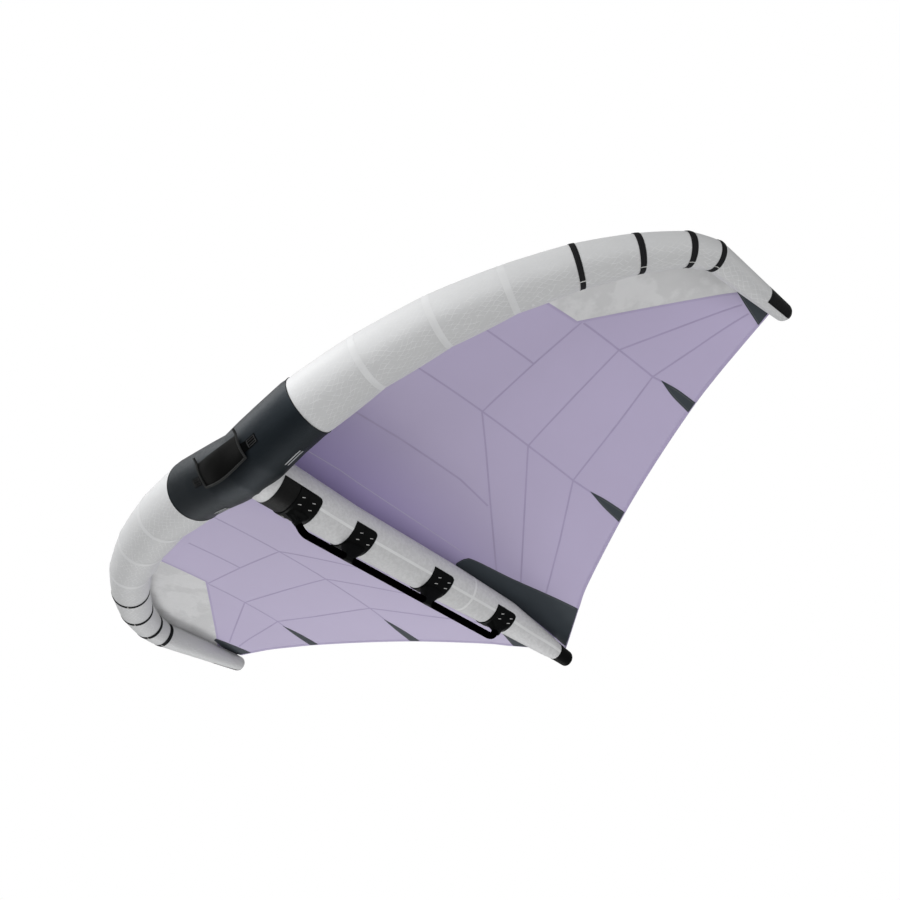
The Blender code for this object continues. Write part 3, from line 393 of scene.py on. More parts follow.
class Value:
    """A number that changes over a surface; arithmetic on it adds Math nodes."""

    def __init__(self, finish, socket):
        self.finish = finish
        self.socket = socket

    def math(self, operation, *others):
        values = dict(enumerate((self, *others)))
        return self.finish.node("ShaderNodeMath", {"operation": operation}, values)

    def __add__(self, other):
        return self.math("ADD", other)

    def __mul__(self, other):
        return self.math("MULTIPLY", other)

    def __sub__(self, other):
        return self.math("SUBTRACT", other)

    def __rsub__(self, other):
        return self.math("MULTIPLY_ADD", -1.0, other)

    def __truediv__(self, other):
        return self.math("DIVIDE", other)

    __radd__ = __add__
    __rmul__ = __mul__

    def wave(self):
        """Distance to the nearest whole number, 0 to 0.5."""
        return self.math("PINGPONG", 0.5)

    def soft_below(self, edge, softness):
        """1 well below an edge and 0 well above it."""
        return self.finish.node(
            "ShaderNodeMapRange", {"interpolation_type": "SMOOTHSTEP"},
            {"Value": self, "From Min": edge - softness, "From Max": edge + softness, "To Min": 1.0, "To Max": 0.0})


class Finish:
    """A material that is being put together."""

    def __init__(self, name):
        self.material = bpy.data.materials.new(name)
        self.material.use_nodes = True
        self.tree = self.material.node_tree
        self.surface = self.tree.nodes["Principled BSDF"]

    def node(self, kind, settings=None, values=None, output=0):
        """A node of a type with its settings and the values or links of its sockets."""
        made = self.tree.nodes.new(kind)
        for key, value in (settings or {}).items():
            if key == "stops":
                self.set_stops(made.color_ramp, value)
            else:
                setattr(made, key, value)
        for key, value in (values or {}).items():
            if isinstance(value, Value):
                self.tree.links.new(value.socket, made.inputs[key])
            else:
                made.inputs[key].default_value = value
        return Value(self, made.outputs[output])

    @staticmethod
    def set_stops(ramp, stops):
        """Colour stops of a ramp."""
        while len(ramp.elements) < len(stops):
            ramp.elements.new(1.0)
        for element, (position, colour) in zip(ramp.elements, stops):
            element.position = position
            element.color = colour

    def cloth(self):
        """The two cloth coordinates, in metres."""
        vector = self.node("ShaderNodeUVMap", {"uv_map": "cloth"}, output="UV")
        split = self.node("ShaderNodeSeparateXYZ", values={"Vector": vector}).socket.node
        return Value(self, split.outputs["X"]), Value(self, split.outputs["Y"])

    def place(self):
        """The surface point in the object's own axes."""
        return self.node("ShaderNodeTexCoord", output="Object")

    def noise(self, scale, detail=3.0, roughness=0.55, vector=None):
        """Soft random cloudiness, 0 to 1."""
        return self.node("ShaderNodeTexNoise", {"noise_dimensions": "3D"},
                         {"Vector": vector or self.place(), "Scale": scale, "Detail": detail,
                          "Roughness": roughness})

    def facing_down(self, level, softness):
        """1 where the surface faces down more than a level."""
        facing = self.node("ShaderNodeNewGeometry", output="Normal")
        lowered = self.node("ShaderNodeSeparateXYZ", values={"Vector": facing}, output="Z")
        return lowered.soft_below(level, softness)

    def mixed(self, share, first, second):
        """Colour between two colours or colour links."""
        return self.node("ShaderNodeMix", {"data_type": "RGBA"}, {0: share, 6: first, 7: second}, output=2)

    def finish(self, colour, roughness, height=None, depth=0.0005, coat=0.0, gleam=0.5, sheen=0.0, through=0.0,
               gleam_tint=(1.0, 1.0, 1.0)):
        """Wire the surface; numbers stay on the shader's own sockets."""
        for key, value in (("Base Color", colour), ("Roughness", roughness)):
            if isinstance(value, Value):
                self.tree.links.new(value.socket, self.surface.inputs[key])
            else:
                self.surface.inputs[key].default_value = value
        self.surface.inputs["Coat Weight"].default_value = coat
        self.surface.inputs["Specular IOR Level"].default_value = gleam
        self.surface.inputs["Specular Tint"].default_value = (*gleam_tint, 1.0)
        self.surface.inputs["Sheen Weight"].default_value = sheen
        self.surface.inputs["Sheen Tint"].default_value = (*gleam_tint, 1.0)
        # Painted glow: Emission Strength makes thin cloth glow evenly, standing in for light that comes through it.
        self.surface.inputs["Emission Strength"].default_value = through
        if height is not None:
            bump = self.node("ShaderNodeBump", values={"Height": height, "Strength": 0.6, "Distance": depth})
            self.tree.links.new(bump.socket, self.surface.inputs["Normal"])
        return self.material


def shade(colour, factor):
    """A colour made lighter or darker, opaque."""
    return (*(min(channel * factor, 1.0) for channel in colour[:3]), 1.0)


def net_cloth(name, colour, yarn=1.15, cell=(0.038, 0.020), depth=0.0007):
    """Coated laminate: loops of lighter yarns show through it. The loops are drawn strongest where the surface faces
    down, as painted light of the shaded side, and downward faces get a painted shade.
    """
    made = Finish(name)
    along, across = made.cloth()
    drift = made.noise(9.0, 3.0, 0.5) * 3.4 + made.noise(40.0) * 0.5
    first = (along / cell[0] + across / cell[1] + drift).wave()
    second = (along / cell[0] - across / cell[1] - drift).wave()
    yarns = first.soft_below(0.05, 0.05).math("MAXIMUM", second.soft_below(0.05, 0.05))
    weave = (along / 0.0011).wave() + (across / 0.0011).wave()
    # Masks of the downward faces, both painted light: the net is drawn most on the shaded side, and the underside is
    # darkened.
    shade_side_mask, under = made.facing_down(-0.47, 0.20), made.facing_down(-0.66, 0.24)
    broken_net_in_shade = yarns * (1 - made.noise(34.0).soft_below(0.46, 0.12)) * (shade_side_mask * 0.7 + 0.3)
    speckle = made.noise(120.0, 2.0)
    cloud = made.noise(5.0, 5.0, 0.6)
    base = made.mixed(cloud * 0.6 + speckle * 0.4, shade(colour, 0.90), shade(colour, 1.06))
    # Painted shade: the downward faces of the cloth are darkened.
    base = made.mixed(under * 0.37, base, shade(colour, 0.70))
    tint = made.mixed(broken_net_in_shade * 0.7, base, shade(colour, yarn))
    rough = 0.50 - broken_net_in_shade * 0.10 + speckle * 0.08
    return made.finish(tint, rough, broken_net_in_shade * 0.8 + speckle * 0.6 + cloud * 0.8 + weave * 0.05, depth)


def crinkled(name, colour, depth=0.0032):
    """Coated cloth with a fine crinkled relief and no net."""
    made = Finish(name)
    along, across = made.cloth()
    fine = 1 - made.noise(80.0, 2.0).soft_below(0.5, 0.14)
    broad = made.noise(30.0, 3.0, 0.6)
    weave = (along / 0.0011).wave() + (across / 0.0011).wave()
    base = made.mixed(fine * 0.6 + broad * 0.4, shade(colour, 0.92), shade(colour, 1.07))
    return made.finish(base, 0.46 + broad * 0.12, fine * 0.5 + broad * 0.7 + weave * 0.05, depth)


def sail_cloth(name, colour, rough=0.46, painted_strut_shade=None):
    """Light ripstop cloth with a fine square grid and a faint painted glow; a painted shade, deeper and more violet,
    may be laid beside the strut, strongest towards the leading edge.
    """
    made = Finish(name)
    along, across = made.cloth()
    grid = (along / 0.006).wave().math("MINIMUM", (across / 0.006).wave()).soft_below(0.06, 0.05)
    cloud = made.noise(2.2, 4.0)
    base = made.mixed(cloud, shade(colour, 0.955), shade(colour, 1.04))
    tint = made.mixed(grid * 0.30, base, shade(colour, 0.90))
    if painted_strut_shade:
        # Painted shade beside the strut and towards the leading edge, where the strut and tube keep light off the
        # cloth.
        reach = along.math("ABSOLUTE") + across * 0.25
        tint = made.mixed(reach.soft_below(0.13, 0.27), tint, (*painted_strut_shade, 1.0))
    creases = made.noise(7.0, 5.0, 0.65)
    return made.finish(tint, rough + made.noise(18.0) * 0.10, grid * 0.15 + creases, 0.0012, sheen=0.35,
                       through=0.020)


def crumpled(name, colour):
    """Thin laminate with soft crumples, random cloudiness, painted sharp-edged highlights and a faint painted glow."""
    made = Finish(name)
    along, across = made.cloth()
    grid = (along / 0.006).wave().math("MINIMUM", (across / 0.006).wave()).soft_below(0.06, 0.05)
    crumples = made.noise(8.0, 4.0, 0.55) * 1.6 + made.noise(30.0) * 0.3
    # Painted highlights: sharp-edged bright patches, like light caught on crumpled film; the cloud below mixes them
    # with random tone.
    patches = 1 - made.noise(6.0, 4.0, 0.60).soft_below(0.54, 0.05)
    cloud = made.noise(8.0, 4.0, 0.55) * 0.5 + patches * 0.5
    base = made.mixed(cloud, shade(colour, 0.90), shade(colour, 1.16))
    return made.finish(base, 0.40, grid * 0.1 + crumples, 0.0090, sheen=0.2, through=0.045)


def plain_weave(name, colour, pitch=0.0012, rough=0.45, depth=0.0003, lift=1.25, **shine):
    """Tight plain weave with slightly lighter high yarns."""
    made = Finish(name)
    along, across = made.cloth()
    weave = (along / pitch).wave() + (across / pitch).wave()
    cloud = made.noise(11.0, 4.0)
    worn = made.noise(70.0, 2.0)
    base = made.mixed(cloud, shade(colour, 0.90), shade(colour, 1.10))
    tint = made.mixed(weave * 0.5 * worn, base, shade(colour, lift))
    return made.finish(tint, rough + worn * 0.12, weave + worn * 0.4, depth, **shine)


def webbing(name, colour, rib=0.0018, gleam=0.12, light=1.7):
    """Ribbed webbing with slanting yarns between its ribs."""
    made = Finish(name)
    along, across = made.cloth()
    ribs = (across / rib).wave()
    twill = (along / rib + across / rib * 2).wave()
    fuzz = made.noise(160.0, 2.0)
    tint = made.mixed(ribs * 1.2 + twill * 0.5, shade(colour, 0.75), shade(colour, light))
    return made.finish(tint, 0.62 + fuzz * 0.15, ribs + twill * 0.6 + fuzz * 0.3, 0.0006, gleam=gleam)


def moulded(name, colour, rough=0.42, grain=900.0, depth=0.00015, coat=0.0, gleam=0.5):
    """Moulded rubber or plastic with a fine leathery grain and faint handling marks."""
    made = Finish(name)
    pits = made.noise(grain, 2.0)
    marks = made.noise(35.0, 5.0, 0.7)
    tint = made.mixed(marks, shade(colour, 0.85), shade(colour, 1.25))
    return made.finish(tint, rough + marks * 0.12, pits, depth, coat=coat, gleam=gleam)


def thread(name, colour):
    """Sewing thread laid side by side."""
    made = Finish(name)
    along, across = made.cloth()
    lay = (along / 0.0009 + across / 0.0009 * 0.5).wave()
    fuzz = made.noise(220.0, 2.0)
    tint = made.mixed(lay * 2, shade(colour, 0.70), shade(colour, 1.05))
    return made.finish(tint, 0.6 + fuzz * 0.1, lay + fuzz * 0.2, 0.0004)


FINISHES = {
    "pale_cloth": net_cloth("pale_cloth", (0.590, 0.595, 0.600)),
    "strut_cloth": crinkled("strut_cloth", (0.610, 0.612, 0.620)),
    "pale_tape": plain_weave("pale_tape", (0.614, 0.619, 0.624), 0.0010, 0.50, 0.0002, 1.04),
    "slit_tape": plain_weave("slit_tape", (0.34, 0.35, 0.36), 0.0010, 0.50, 0.0002, 1.05),
    "dark_cloth": plain_weave("dark_cloth", (0.0030, 0.0048, 0.0064), 0.0013, 0.40, gleam=0.24,
                              gleam_tint=(0.74, 0.87, 1.0)),
    # The lilac canopy carries a painted shade beside the strut and a faint painted glow.
    "lilac_cloth": sail_cloth("lilac_cloth", (0.430, 0.374, 0.558), painted_strut_shade=(0.268, 0.208, 0.460)),
    "lilac_seam": plain_weave("lilac_seam", (0.362, 0.312, 0.482), 0.0010, 0.55, 0.0002, 1.1),
    "lilac_hem": plain_weave("lilac_hem", (0.405, 0.352, 0.530), 0.0010, 0.55, 0.0002, 1.08),
    # The grey tip windows carry painted highlights and a faint painted glow.
    "grey_cloth": crumpled("grey_cloth", (0.575, 0.577, 0.582)),
    "slate_cloth": plain_weave("slate_cloth", (0.036, 0.045, 0.054), 0.0014, 0.55, gleam=0.25),
    "black_rubber": moulded("black_rubber", (0.0018, 0.0021, 0.0022), gleam=0.06),
    "black_boom": moulded("black_boom", (0.0005, 0.0003, 0.0005), 0.60, 1400.0, 0.0001, gleam=0.0),
    "black_webbing": webbing("black_webbing", (0.0036, 0.0036, 0.0040), 0.0072, light=5.0),
    "grip_cloth": moulded("grip_cloth", (0.0020, 0.0021, 0.0020), 0.36, 420.0, 0.0003, gleam=0.08),
    "tab_webbing": webbing("tab_webbing", (0.0014, 0.0015, 0.0016), gleam=0.02),
    "tab_thread": thread("tab_thread", (0.055, 0.057, 0.060)),
    "grip_cord": webbing("grip_cord", (0.0200, 0.0208, 0.0208), 0.0046),
    "strut_tape": plain_weave("strut_tape", (0.74, 0.745, 0.75), 0.0010, 0.45, 0.0002, 1.04),
    "black_cloth": plain_weave("black_cloth", (0.0030, 0.0032, 0.0032), 0.0014, 0.42, 0.0004, 1.8, gleam=0.12),
    "pale_thread": thread("pale_thread", (0.62, 0.62, 0.60)),
    "grey_thread": thread("grey_thread", (0.10, 0.105, 0.11)),
    "lilac_thread": thread("lilac_thread", (0.50, 0.45, 0.63)),
    "valve_plastic": moulded("valve_plastic", (0.44, 0.45, 0.46), 0.32, 700.0, 0.0001, 0.2),
    "clear_film": moulded("clear_film", (0.62, 0.64, 0.66), 0.25, 300.0, 0.0001),
}


# Mesh builders

def linked(name, bm, finish, smooth=True, sharp=50):
    """Object from a mesh, with its finish."""
    bmesh.ops.recalc_face_normals(bm, faces=bm.faces)
    mesh = bpy.data.meshes.new(name)
    bm.to_mesh(mesh)
    bm.free()
    mesh.materials.append(FINISHES[finish])
    if smooth:
        mesh.shade_smooth()
        mesh.set_sharp_from_angle(angle=math.radians(sharp))
    made = bpy.data.objects.new(name, mesh)
    bpy.context.scene.collection.objects.link(made)
    return made


def add_skin(bm, point, us, vs, lift, wall, cloth, closed=False, keep=None):
    """Cloth of some wall over part of a surface, added to a mesh; returns the area of one side."""
    layer = bm.loops.layers.uv.get("cloth") or bm.loops.layers.uv.new("cloth")
    columns = len(vs) - 1 if closed else len(vs)
    thick = wall if callable(wall) else (lambda u, v: wall)
    used = {
        (i, j)
        for i in range(len(us) - 1)
        for j in range(len(vs) - 1)
        if keep is None or keep(i, j)
    }
    low, high, edges = {}, {}, {}

    def face(corners, points):
        made = bm.faces.new(points)
        for loop, (i, j) in zip(made.loops, corners):
            loop[layer].uv = cloth(us[i], vs[j])
        return made

    area = 0.0
    for i, j in sorted(used):
        corners = ((i, j), (i + 1, j), (i + 1, j + 1), (i, j + 1))
        for row, column in corners:
            key = (row, column % columns)
            if key not in low:
                low[key] = bm.verts.new(point(us[row], vs[column], lift))
                high[key] = bm.verts.new(point(us[row], vs[column], lift + thick(us[row], vs[column])))
        keys = [(row, column % columns) for row, column in corners]
        area += face(corners, [high[key] for key in keys]).calc_area()
        face(corners[::-1], [low[key] for key in keys[::-1]])
        for start, end in zip(range(4), (1, 2, 3, 0)):
            edge = frozenset((keys[start], keys[end]))
            edges.setdefault(edge, []).append((corners[start], corners[end], keys[start], keys[end]))
    for uses in edges.values():
        if len(uses) == 1:
            start, end, near, far = uses[0]
            face((end, start, start, end), (high[far], high[near], low[near], low[far]))
    return area


def skin(name, finish, point, us, vs, lift, wall, cloth, closed=False, keep=None, sharp=50):
    """One piece of cloth or moulding over part of a surface, with the area of one side."""
    bm = bmesh.new()
    area = add_skin(bm, point, us, vs, lift, wall, cloth, closed, keep)
    return linked(name, bm, finish, sharp=sharp), area


def add_pipe(bm, path, radius, sides=12, closed=False, flat=1.0, axis=None):
    """Round or flattened bar along a path, added to a mesh."""
    layer = bm.loops.layers.uv.get("cloth") or bm.loops.layers.uv.new("cloth")
    rows, reach, reaches = [], 0.0, []
    count = len(path)
    side = None
    for index, point in enumerate(path):
        before = path[index - 1] if index or closed else point
        after = path[(index + 1) % count] if index + 1 < count or closed else point
        along = (after - before).normalized()
        if axis is not None:
            side = (axis - along * along.dot(axis)).normalized()
        elif side is None:
            side = along.orthogonal().normalized()
        else:
            side = (side - along * along.dot(side)).normalized()
        other = along.cross(side)
        if index:
            reach += (point - path[index - 1]).length
        reaches.append(reach)
        size = radius(index / max(count - 1, 1)) if callable(radius) else radius
        rows.append([
            bm.verts.new(point + (side * math.cos(t) + other * (flat * math.sin(t))) * size)
            for t in [math.tau * k / sides for k in range(sides)]
        ])
    pairs = list(zip(range(count), range(1, count))) + ([(count - 1, 0)] if closed else [])
    size = radius(0.5) if callable(radius) else radius
    for near, far in pairs:
        for k in range(sides):
            nxt = (k + 1) % sides
            made = bm.faces.new((rows[near][k], rows[near][nxt], rows[far][nxt], rows[far][k]))
            far_reach = reaches[far] if far else reach + (path[0] - path[-1]).length
            spots = ((reaches[near], k), (reaches[near], k + 1), (far_reach, k + 1), (far_reach, k))
            for loop, (u, v) in zip(made.loops, spots):
                loop[layer].uv = (u, math.tau * v / sides * size)
    if not closed:
        for row in (rows[0], rows[-1]):
            bm.faces.new(row)


def pipe(name, finish, path, radius, sides=12, closed=False, flat=1.0, axis=None):
    """Bar along a path as a piece."""
    bm = bmesh.new()
    add_pipe(bm, path, radius, sides, closed, flat, axis)
    return linked(name, bm, finish)


def add_turned(bm, profile, place, sides=48):
    """Closed profile of (radius, height) pairs turned about a frame's Z axis, added to a mesh."""
    layer = bm.loops.layers.uv.get("cloth") or bm.loops.layers.uv.new("cloth")
    rows = []
    for radius, height in profile:
        if radius == 0:
            rows.append([bm.verts.new(place @ Vector((0, 0, height)))])
            continue
        rows.append([
            bm.verts.new(place @ Vector((radius * math.cos(t), radius * math.sin(t), height)))
            for t in [math.tau * k / sides for k in range(sides)]
        ])
    pairs = zip(rows, rows[1:]) if profile[0][0] == 0 else zip(rows, rows[1:] + rows[:1])
    for near, far in pairs:
        for k in range(sides):
            nxt = (k + 1) % sides
            if len(near) == 1:
                corners = (near[0], far[k], far[nxt])
            elif len(far) == 1:
                corners = (far[0], near[nxt], near[k])
            else:
                corners = (near[k], near[nxt], far[nxt], far[k])
            made = bm.faces.new(corners)
            for loop in made.loops:
                loop[layer].uv = (loop.vert.co.x, loop.vert.co.z)


def on_body(piece, body, *nodes, finish=None):
    """The piece moves with a body and stands for CAD nodes."""
    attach(piece, body)
    if nodes:
        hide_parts(*nodes)
    return piece


def as_sheet(piece, area, length):
    """Works out a cut sheet's width and allowed area from its area and its longer side, and keeps neither."""
    area / length
    area * SHEET_ALLOWANCE


# Leading edge

def swollen(place, angle, lift):
    """Point on the leading edge with the swell of its sleeves between their seams."""
    ahead = abs(place)
    if ahead < WRAP_END or ahead > LAST_RING:
        return tube_point(place, angle, lift)
    first = WRAP_END if ahead < 4 else int(ahead)
    last = 4 if ahead < 4 else first + 1
    share = (ahead - first) / (last - first)
    reach = tube_reach(last) - tube_reach(first)
    distance = min(share, 1 - share) * reach
    if ahead > LAST_RING - 1:
        distance = share * reach
        swell = eased(min(distance, reach - distance) / 0.08) * 0.5
    else:
        swell = math.sin(math.pi * share)
    pinch = math.exp(-(distance / SEAM_REACH) ** 2)
    return tube_point(place, angle, lift + SLEEVE_SWELL * swell - SEAM_PINCH * pinch)


def sleeve_places(first, last, count):
    """Places along a sleeve, closer together near its seams."""
    return [first + (last - first) * (0.5 - 0.5 * math.cos(math.pi * k / count)) for k in range(count + 1)]


def full_turn(sides=TUBE_SIDES):
    """Angles all round a tube, the last the same as the first."""
    return steps(-180, 180, sides)


def leading_edge():
    """Wrap, sleeves and tips of the leading edge."""
    wrap, area = skin("nose_wrap", "dark_cloth", tube_point, steps(-WRAP_END, WRAP_END, 56), full_turn(),
                      -CLOTH, CLOTH * 1.5, tube_cloth, closed=True)
    on_body(wrap, "wing", "leading_edge_wrap", finish="dark_cloth")
    as_sheet(wrap, area, 2 * tube_reach(WRAP_END))
    for side, hand in ((1, "right"), (-1, "left")):
        seams = [WRAP_END] + list(range(4, LAST_RING))
        for number, (first, last) in enumerate(zip(seams, seams[1:]), start=1):
            places = [side * place for place in sleeve_places(first, last, 14)]
            piece, area = skin(f"sleeve_{number}_{hand}", "pale_cloth", swollen, places, full_turn(),
                               -CLOTH, CLOTH, tube_cloth, closed=True)
            on_body(piece, "wing", f"leading_edge_panel_{number}_{hand}", finish="pale_cloth")
            as_sheet(piece, area, math.tau * tube_radius((first + last) / 2))
        places = sleeve_places(LAST_RING - 1, LAST_RING, 18)
        places += [LAST_RING + share for share in (0.1, 0.2, 0.3, 0.4, 0.5, 0.6, 0.7, 0.8, 0.88, 0.95, 0.99)]
        places = [side * place for place in places]
        piece, area = skin(f"tip_sleeve_{hand}", "pale_cloth", swollen, places, full_turn(),
                           -CLOTH, CLOTH, tube_cloth, closed=True)
        on_body(piece, "wing", f"leading_edge_tip_{hand}", finish="pale_cloth")
        as_sheet(piece, area, tube_reach(LAST_RING) - tube_reach(LAST_RING - 1))
        seam_tapes(side, hand)
        seam_bands(side, hand)
        tip_guard(side, hand)


def seam_tapes(side, hand):
    """Pale tapes welded over the inner seams, and the thin binding of the wrap's edge."""
    for ring in (4, 5, 6):
        half = 0.013
        before = ring - half / (tube_reach(ring) - tube_reach(ring - 1))
        after = ring + half / (tube_reach(ring + 1) - tube_reach(ring))
        places = [side * place for place in (before, (before + ring) / 2, ring, (after + ring) / 2, after)]
        piece, area = skin(f"seam_tape_{ring - 3}_{hand}", "pale_tape", swollen, places, full_turn(),
                           0.0002, 0.0005, tube_cloth, closed=True)
        on_body(piece, "wing", finish="pale_cloth")
        as_sheet(piece, area, math.tau * tube_radius(ring))
    bm = bmesh.new()
    path = [tube_point(side * WRAP_END, angle, 0.0006) for angle in full_turn()[:-1]]
    add_pipe(bm, path, 0.0014, 8, closed=True)
    on_body(linked(f"wrap_binding_{hand}", bm, "black_cloth"), "wing", finish="dark_cloth")


def seam_bands(side, hand):
    """Black bands over the outer seams: ribbed webbing with a pale stitch across its lower end."""
    for number, half in enumerate(SEAM_BAND_HALF_WIDTHS):
        ring = FIRST_BAND_RING + number
        before = ring - half / (tube_reach(ring) - tube_reach(ring - 1))
        after = ring + half / (tube_reach(ring + 1) - tube_reach(ring))
        inner = [before + (ring - before) * share for share in (0, 0.12, 0.42, 0.5, 0.58, 0.88)]
        outer = [ring + (after - ring) * share for share in (0, 0.12, 0.42, 0.5, 0.58, 0.88, 1)]
        ribs = dict(zip(inner + outer, (0.4, 1, 1, 0.55, 1, 1, 0.7, 1, 1, 0.55, 1, 1, 0.4)))
        places = [side * place for place in inner + outer]
        piece, area = skin(f"band_{number + 1}_{hand}", "black_webbing", tube_point, places,
                           steps(90, 405, 90), 0.0006, lambda place, angle: 0.0012 * ribs[abs(place)],
                           lambda place, angle: tube_cloth(place, angle)[::-1])
        on_body(piece, "wing", f"seam_band_{number + 1}_{hand}", finish="black_webbing")
        bm = bmesh.new()
        for place in (before + (ring - before) * 0.25, after - (after - ring) * 0.25):
            path = [tube_point(side * place, angle, 0.0018) for angle in steps(-92.5, -90.5, 4)]
            add_pipe(bm, path, 0.0008, 6)
        add_skin(bm, tube_point, [side * place for place in (before, ring, after)], steps(-93, -90.5, 3),
                 0.0016, 0.0008, tube_cloth)
        stitch = on_body(linked(f"band_stitch_{number + 1}_{hand}", bm, "pale_thread"), "wing",
                         finish="pale_cloth")
        as_sheet(piece, area, math.radians(315) * tube_radius(ring))


def tip_guard(side, hand):
    """Black patch on the outer side and end of each tip."""
    places = steps(SCUFF_START, LAST_RING, 8)
    places += [LAST_RING + share for share in (0.12, 0.24, 0.36, 0.48, 0.6, 0.72, 0.84, 0.95)]
    piece, area = skin(f"tip_guard_{hand}", "black_cloth", tube_point, [side * place for place in places],
                       steps(82, 253, 44), 0.0006, 0.0010, tube_cloth)
    on_body(piece, "wing", f"tip_scuff_patch_{hand}", finish="black_rubber")
    as_sheet(piece, area, 0.33)


# Strut

def strut():
    """Two sleeves of the strut, its seam tapes and the cap on its tail."""
    front, area = skin("strut_sleeve_front", "strut_cloth", mouth_point, steps(0, 1, 40), full_turn(),
                       -CLOTH, CLOTH, lambda share, angle: strut_cloth(mouth_at(share, angle), angle), closed=True)
    on_body(front, "wing", "strut_casing_front", finish="pale_cloth")
    as_sheet(front, area, 1.05)
    end = STRUT_LENGTH - STRUT_CAP_LENGTH
    backs = [STRUT_SEAM_BACK + (end - STRUT_SEAM_BACK) * share for share in steps(0, 1, 20)]
    rear, area = skin("strut_sleeve_rear", "strut_cloth", strut_point, backs, full_turn(), -CLOTH, CLOTH,
                      strut_cloth, closed=True)
    on_body(rear, "wing", "strut_casing_rear", finish="pale_cloth")
    as_sheet(rear, area, end - STRUT_SEAM_BACK)
    ring, area = skin("strut_ring_tape", "strut_tape", strut_point,
                      [STRUT_SEAM_BACK + reach for reach in (-0.005, 0, 0.005)], full_turn(),
                      0.0002, 0.0005, strut_cloth, closed=True)
    on_body(ring, "wing", finish="pale_cloth")
    as_sheet(ring, area, math.tau * strut_at(STRUT_SEAM_BACK)[1])
    for side, hand in ((1, "right"), (-1, "left")):
        def flank(back, across, lift, side=side):
            _, radius = strut_at(back)
            angle = -44 + 12 * eased((back - 1.45) / 0.25)
            turn = angle + math.degrees(across / radius)
            return strut_point(back, turn if side > 0 else 180 - turn, lift)
        tape, area = skin(f"strut_flank_tape_{hand}", "strut_tape", flank, steps(0.16, end, 60),
                          (-0.0055, 0, 0.0055), 0.0003, 0.0004, lambda back, across: (back, across))
        on_body(tape, "wing", finish="pale_cloth")
        as_sheet(tape, area, end - 0.16)
    tail_cap()


def mouth_back(angle):
    """Distance behind the nose datum at which the strut's line at an angle meets the leading edge."""
    low, high = 0.0, 0.35
    for _ in range(24):
        back = (low + high) / 2
        point = strut_point(back, angle)
        if inside_leading_edge(point):
            low = back
        else:
            high = back
    return high + 0.0004


def inside_leading_edge(point):
    """Whether a point near the centre lies inside the leading edge tube."""
    goal = point - NOSE
    index = 0
    while index < 4 and RINGS[index + 1][0].x < abs(goal.x):
        index += 1
    share = abs(goal.x) / max(RINGS[index + 1][0].x, 1e-6) if index == 0 else \
        (abs(goal.x) - RINGS[index][0].x) / (RINGS[index + 1][0].x - RINGS[index][0].x)
    centre = RINGS[index][0].lerp(RINGS[index + 1][0], share)
    radius = RINGS[index][4] + (RINGS[index + 1][4] - RINGS[index][4]) * share
    return math.hypot(goal.y - centre.y, goal.z - centre.z) < radius


MOUTH = {}


def mouth_at(share, angle):
    """Distance behind the nose datum at a share of the front sleeve's length on one line."""
    key = round(angle, 4)
    if key not in MOUTH:
        MOUTH[key] = mouth_back(angle)
    start = MOUTH[key]
    return start + (STRUT_SEAM_BACK - start) * share


def mouth_point(share, angle, lift):
    """Point on the strut's front sleeve, which is mouthed to the leading edge."""
    return strut_point(mouth_at(share, angle), angle, lift)


def tail_cap():
    """Rubber cap on the strut's tail, with a rounded end and a lip."""
    start = STRUT_LENGTH - STRUT_CAP_LENGTH
    backs = [start, start + 0.0005, start + 0.002, start + 0.004, start + 0.0045, start + 0.010]
    backs += steps(start + 0.02, STRUT_LENGTH - CAP_CORNER, 5)
    lifts = [0.0002, 0.0016, 0.0022, 0.0018, 0.0010] + [0.0010] * (len(backs) - 5)
    _, mouth_radius = strut_at(start)
    rows = [(back, strut_at(back)[1] * 0.35 + mouth_radius * 0.65 + lift) for back, lift in zip(backs, lifts)]
    _, last_radius = rows[-1]
    for turn in (15, 30, 45, 58, 70, 80, 87):
        bend = math.radians(turn)
        rows.append((STRUT_LENGTH - CAP_CORNER + CAP_CORNER * math.sin(bend),
                     last_radius - CAP_CORNER * (1 - math.cos(bend))))
    bm = bmesh.new()
    layer = bm.loops.layers.uv.new("cloth")
    made = []
    for back, radius in rows:
        level, _ = strut_at(back)
        made.append([
            bm.verts.new(Vector((radius * math.cos(t), back, level + radius * math.sin(t))) + NOSE)
            for t in [math.tau * k / 48 for k in range(48)]
        ])
    for near, far in zip(made, made[1:]):
        for k in range(48):
            bm.faces.new((near[k], near[(k + 1) % 48], far[(k + 1) % 48], far[k]))
    bm.faces.new(made[0])
    bm.faces.new(made[-1])
    for face in bm.faces:
        for loop in face.loops:
            loop[layer].uv = (loop.vert.co.y, loop.vert.co.x)
    on_body(linked("tail_cap", bm, "black_rubber"), "wing", "strut_end_cap", finish="black_rubber")


# Canopy

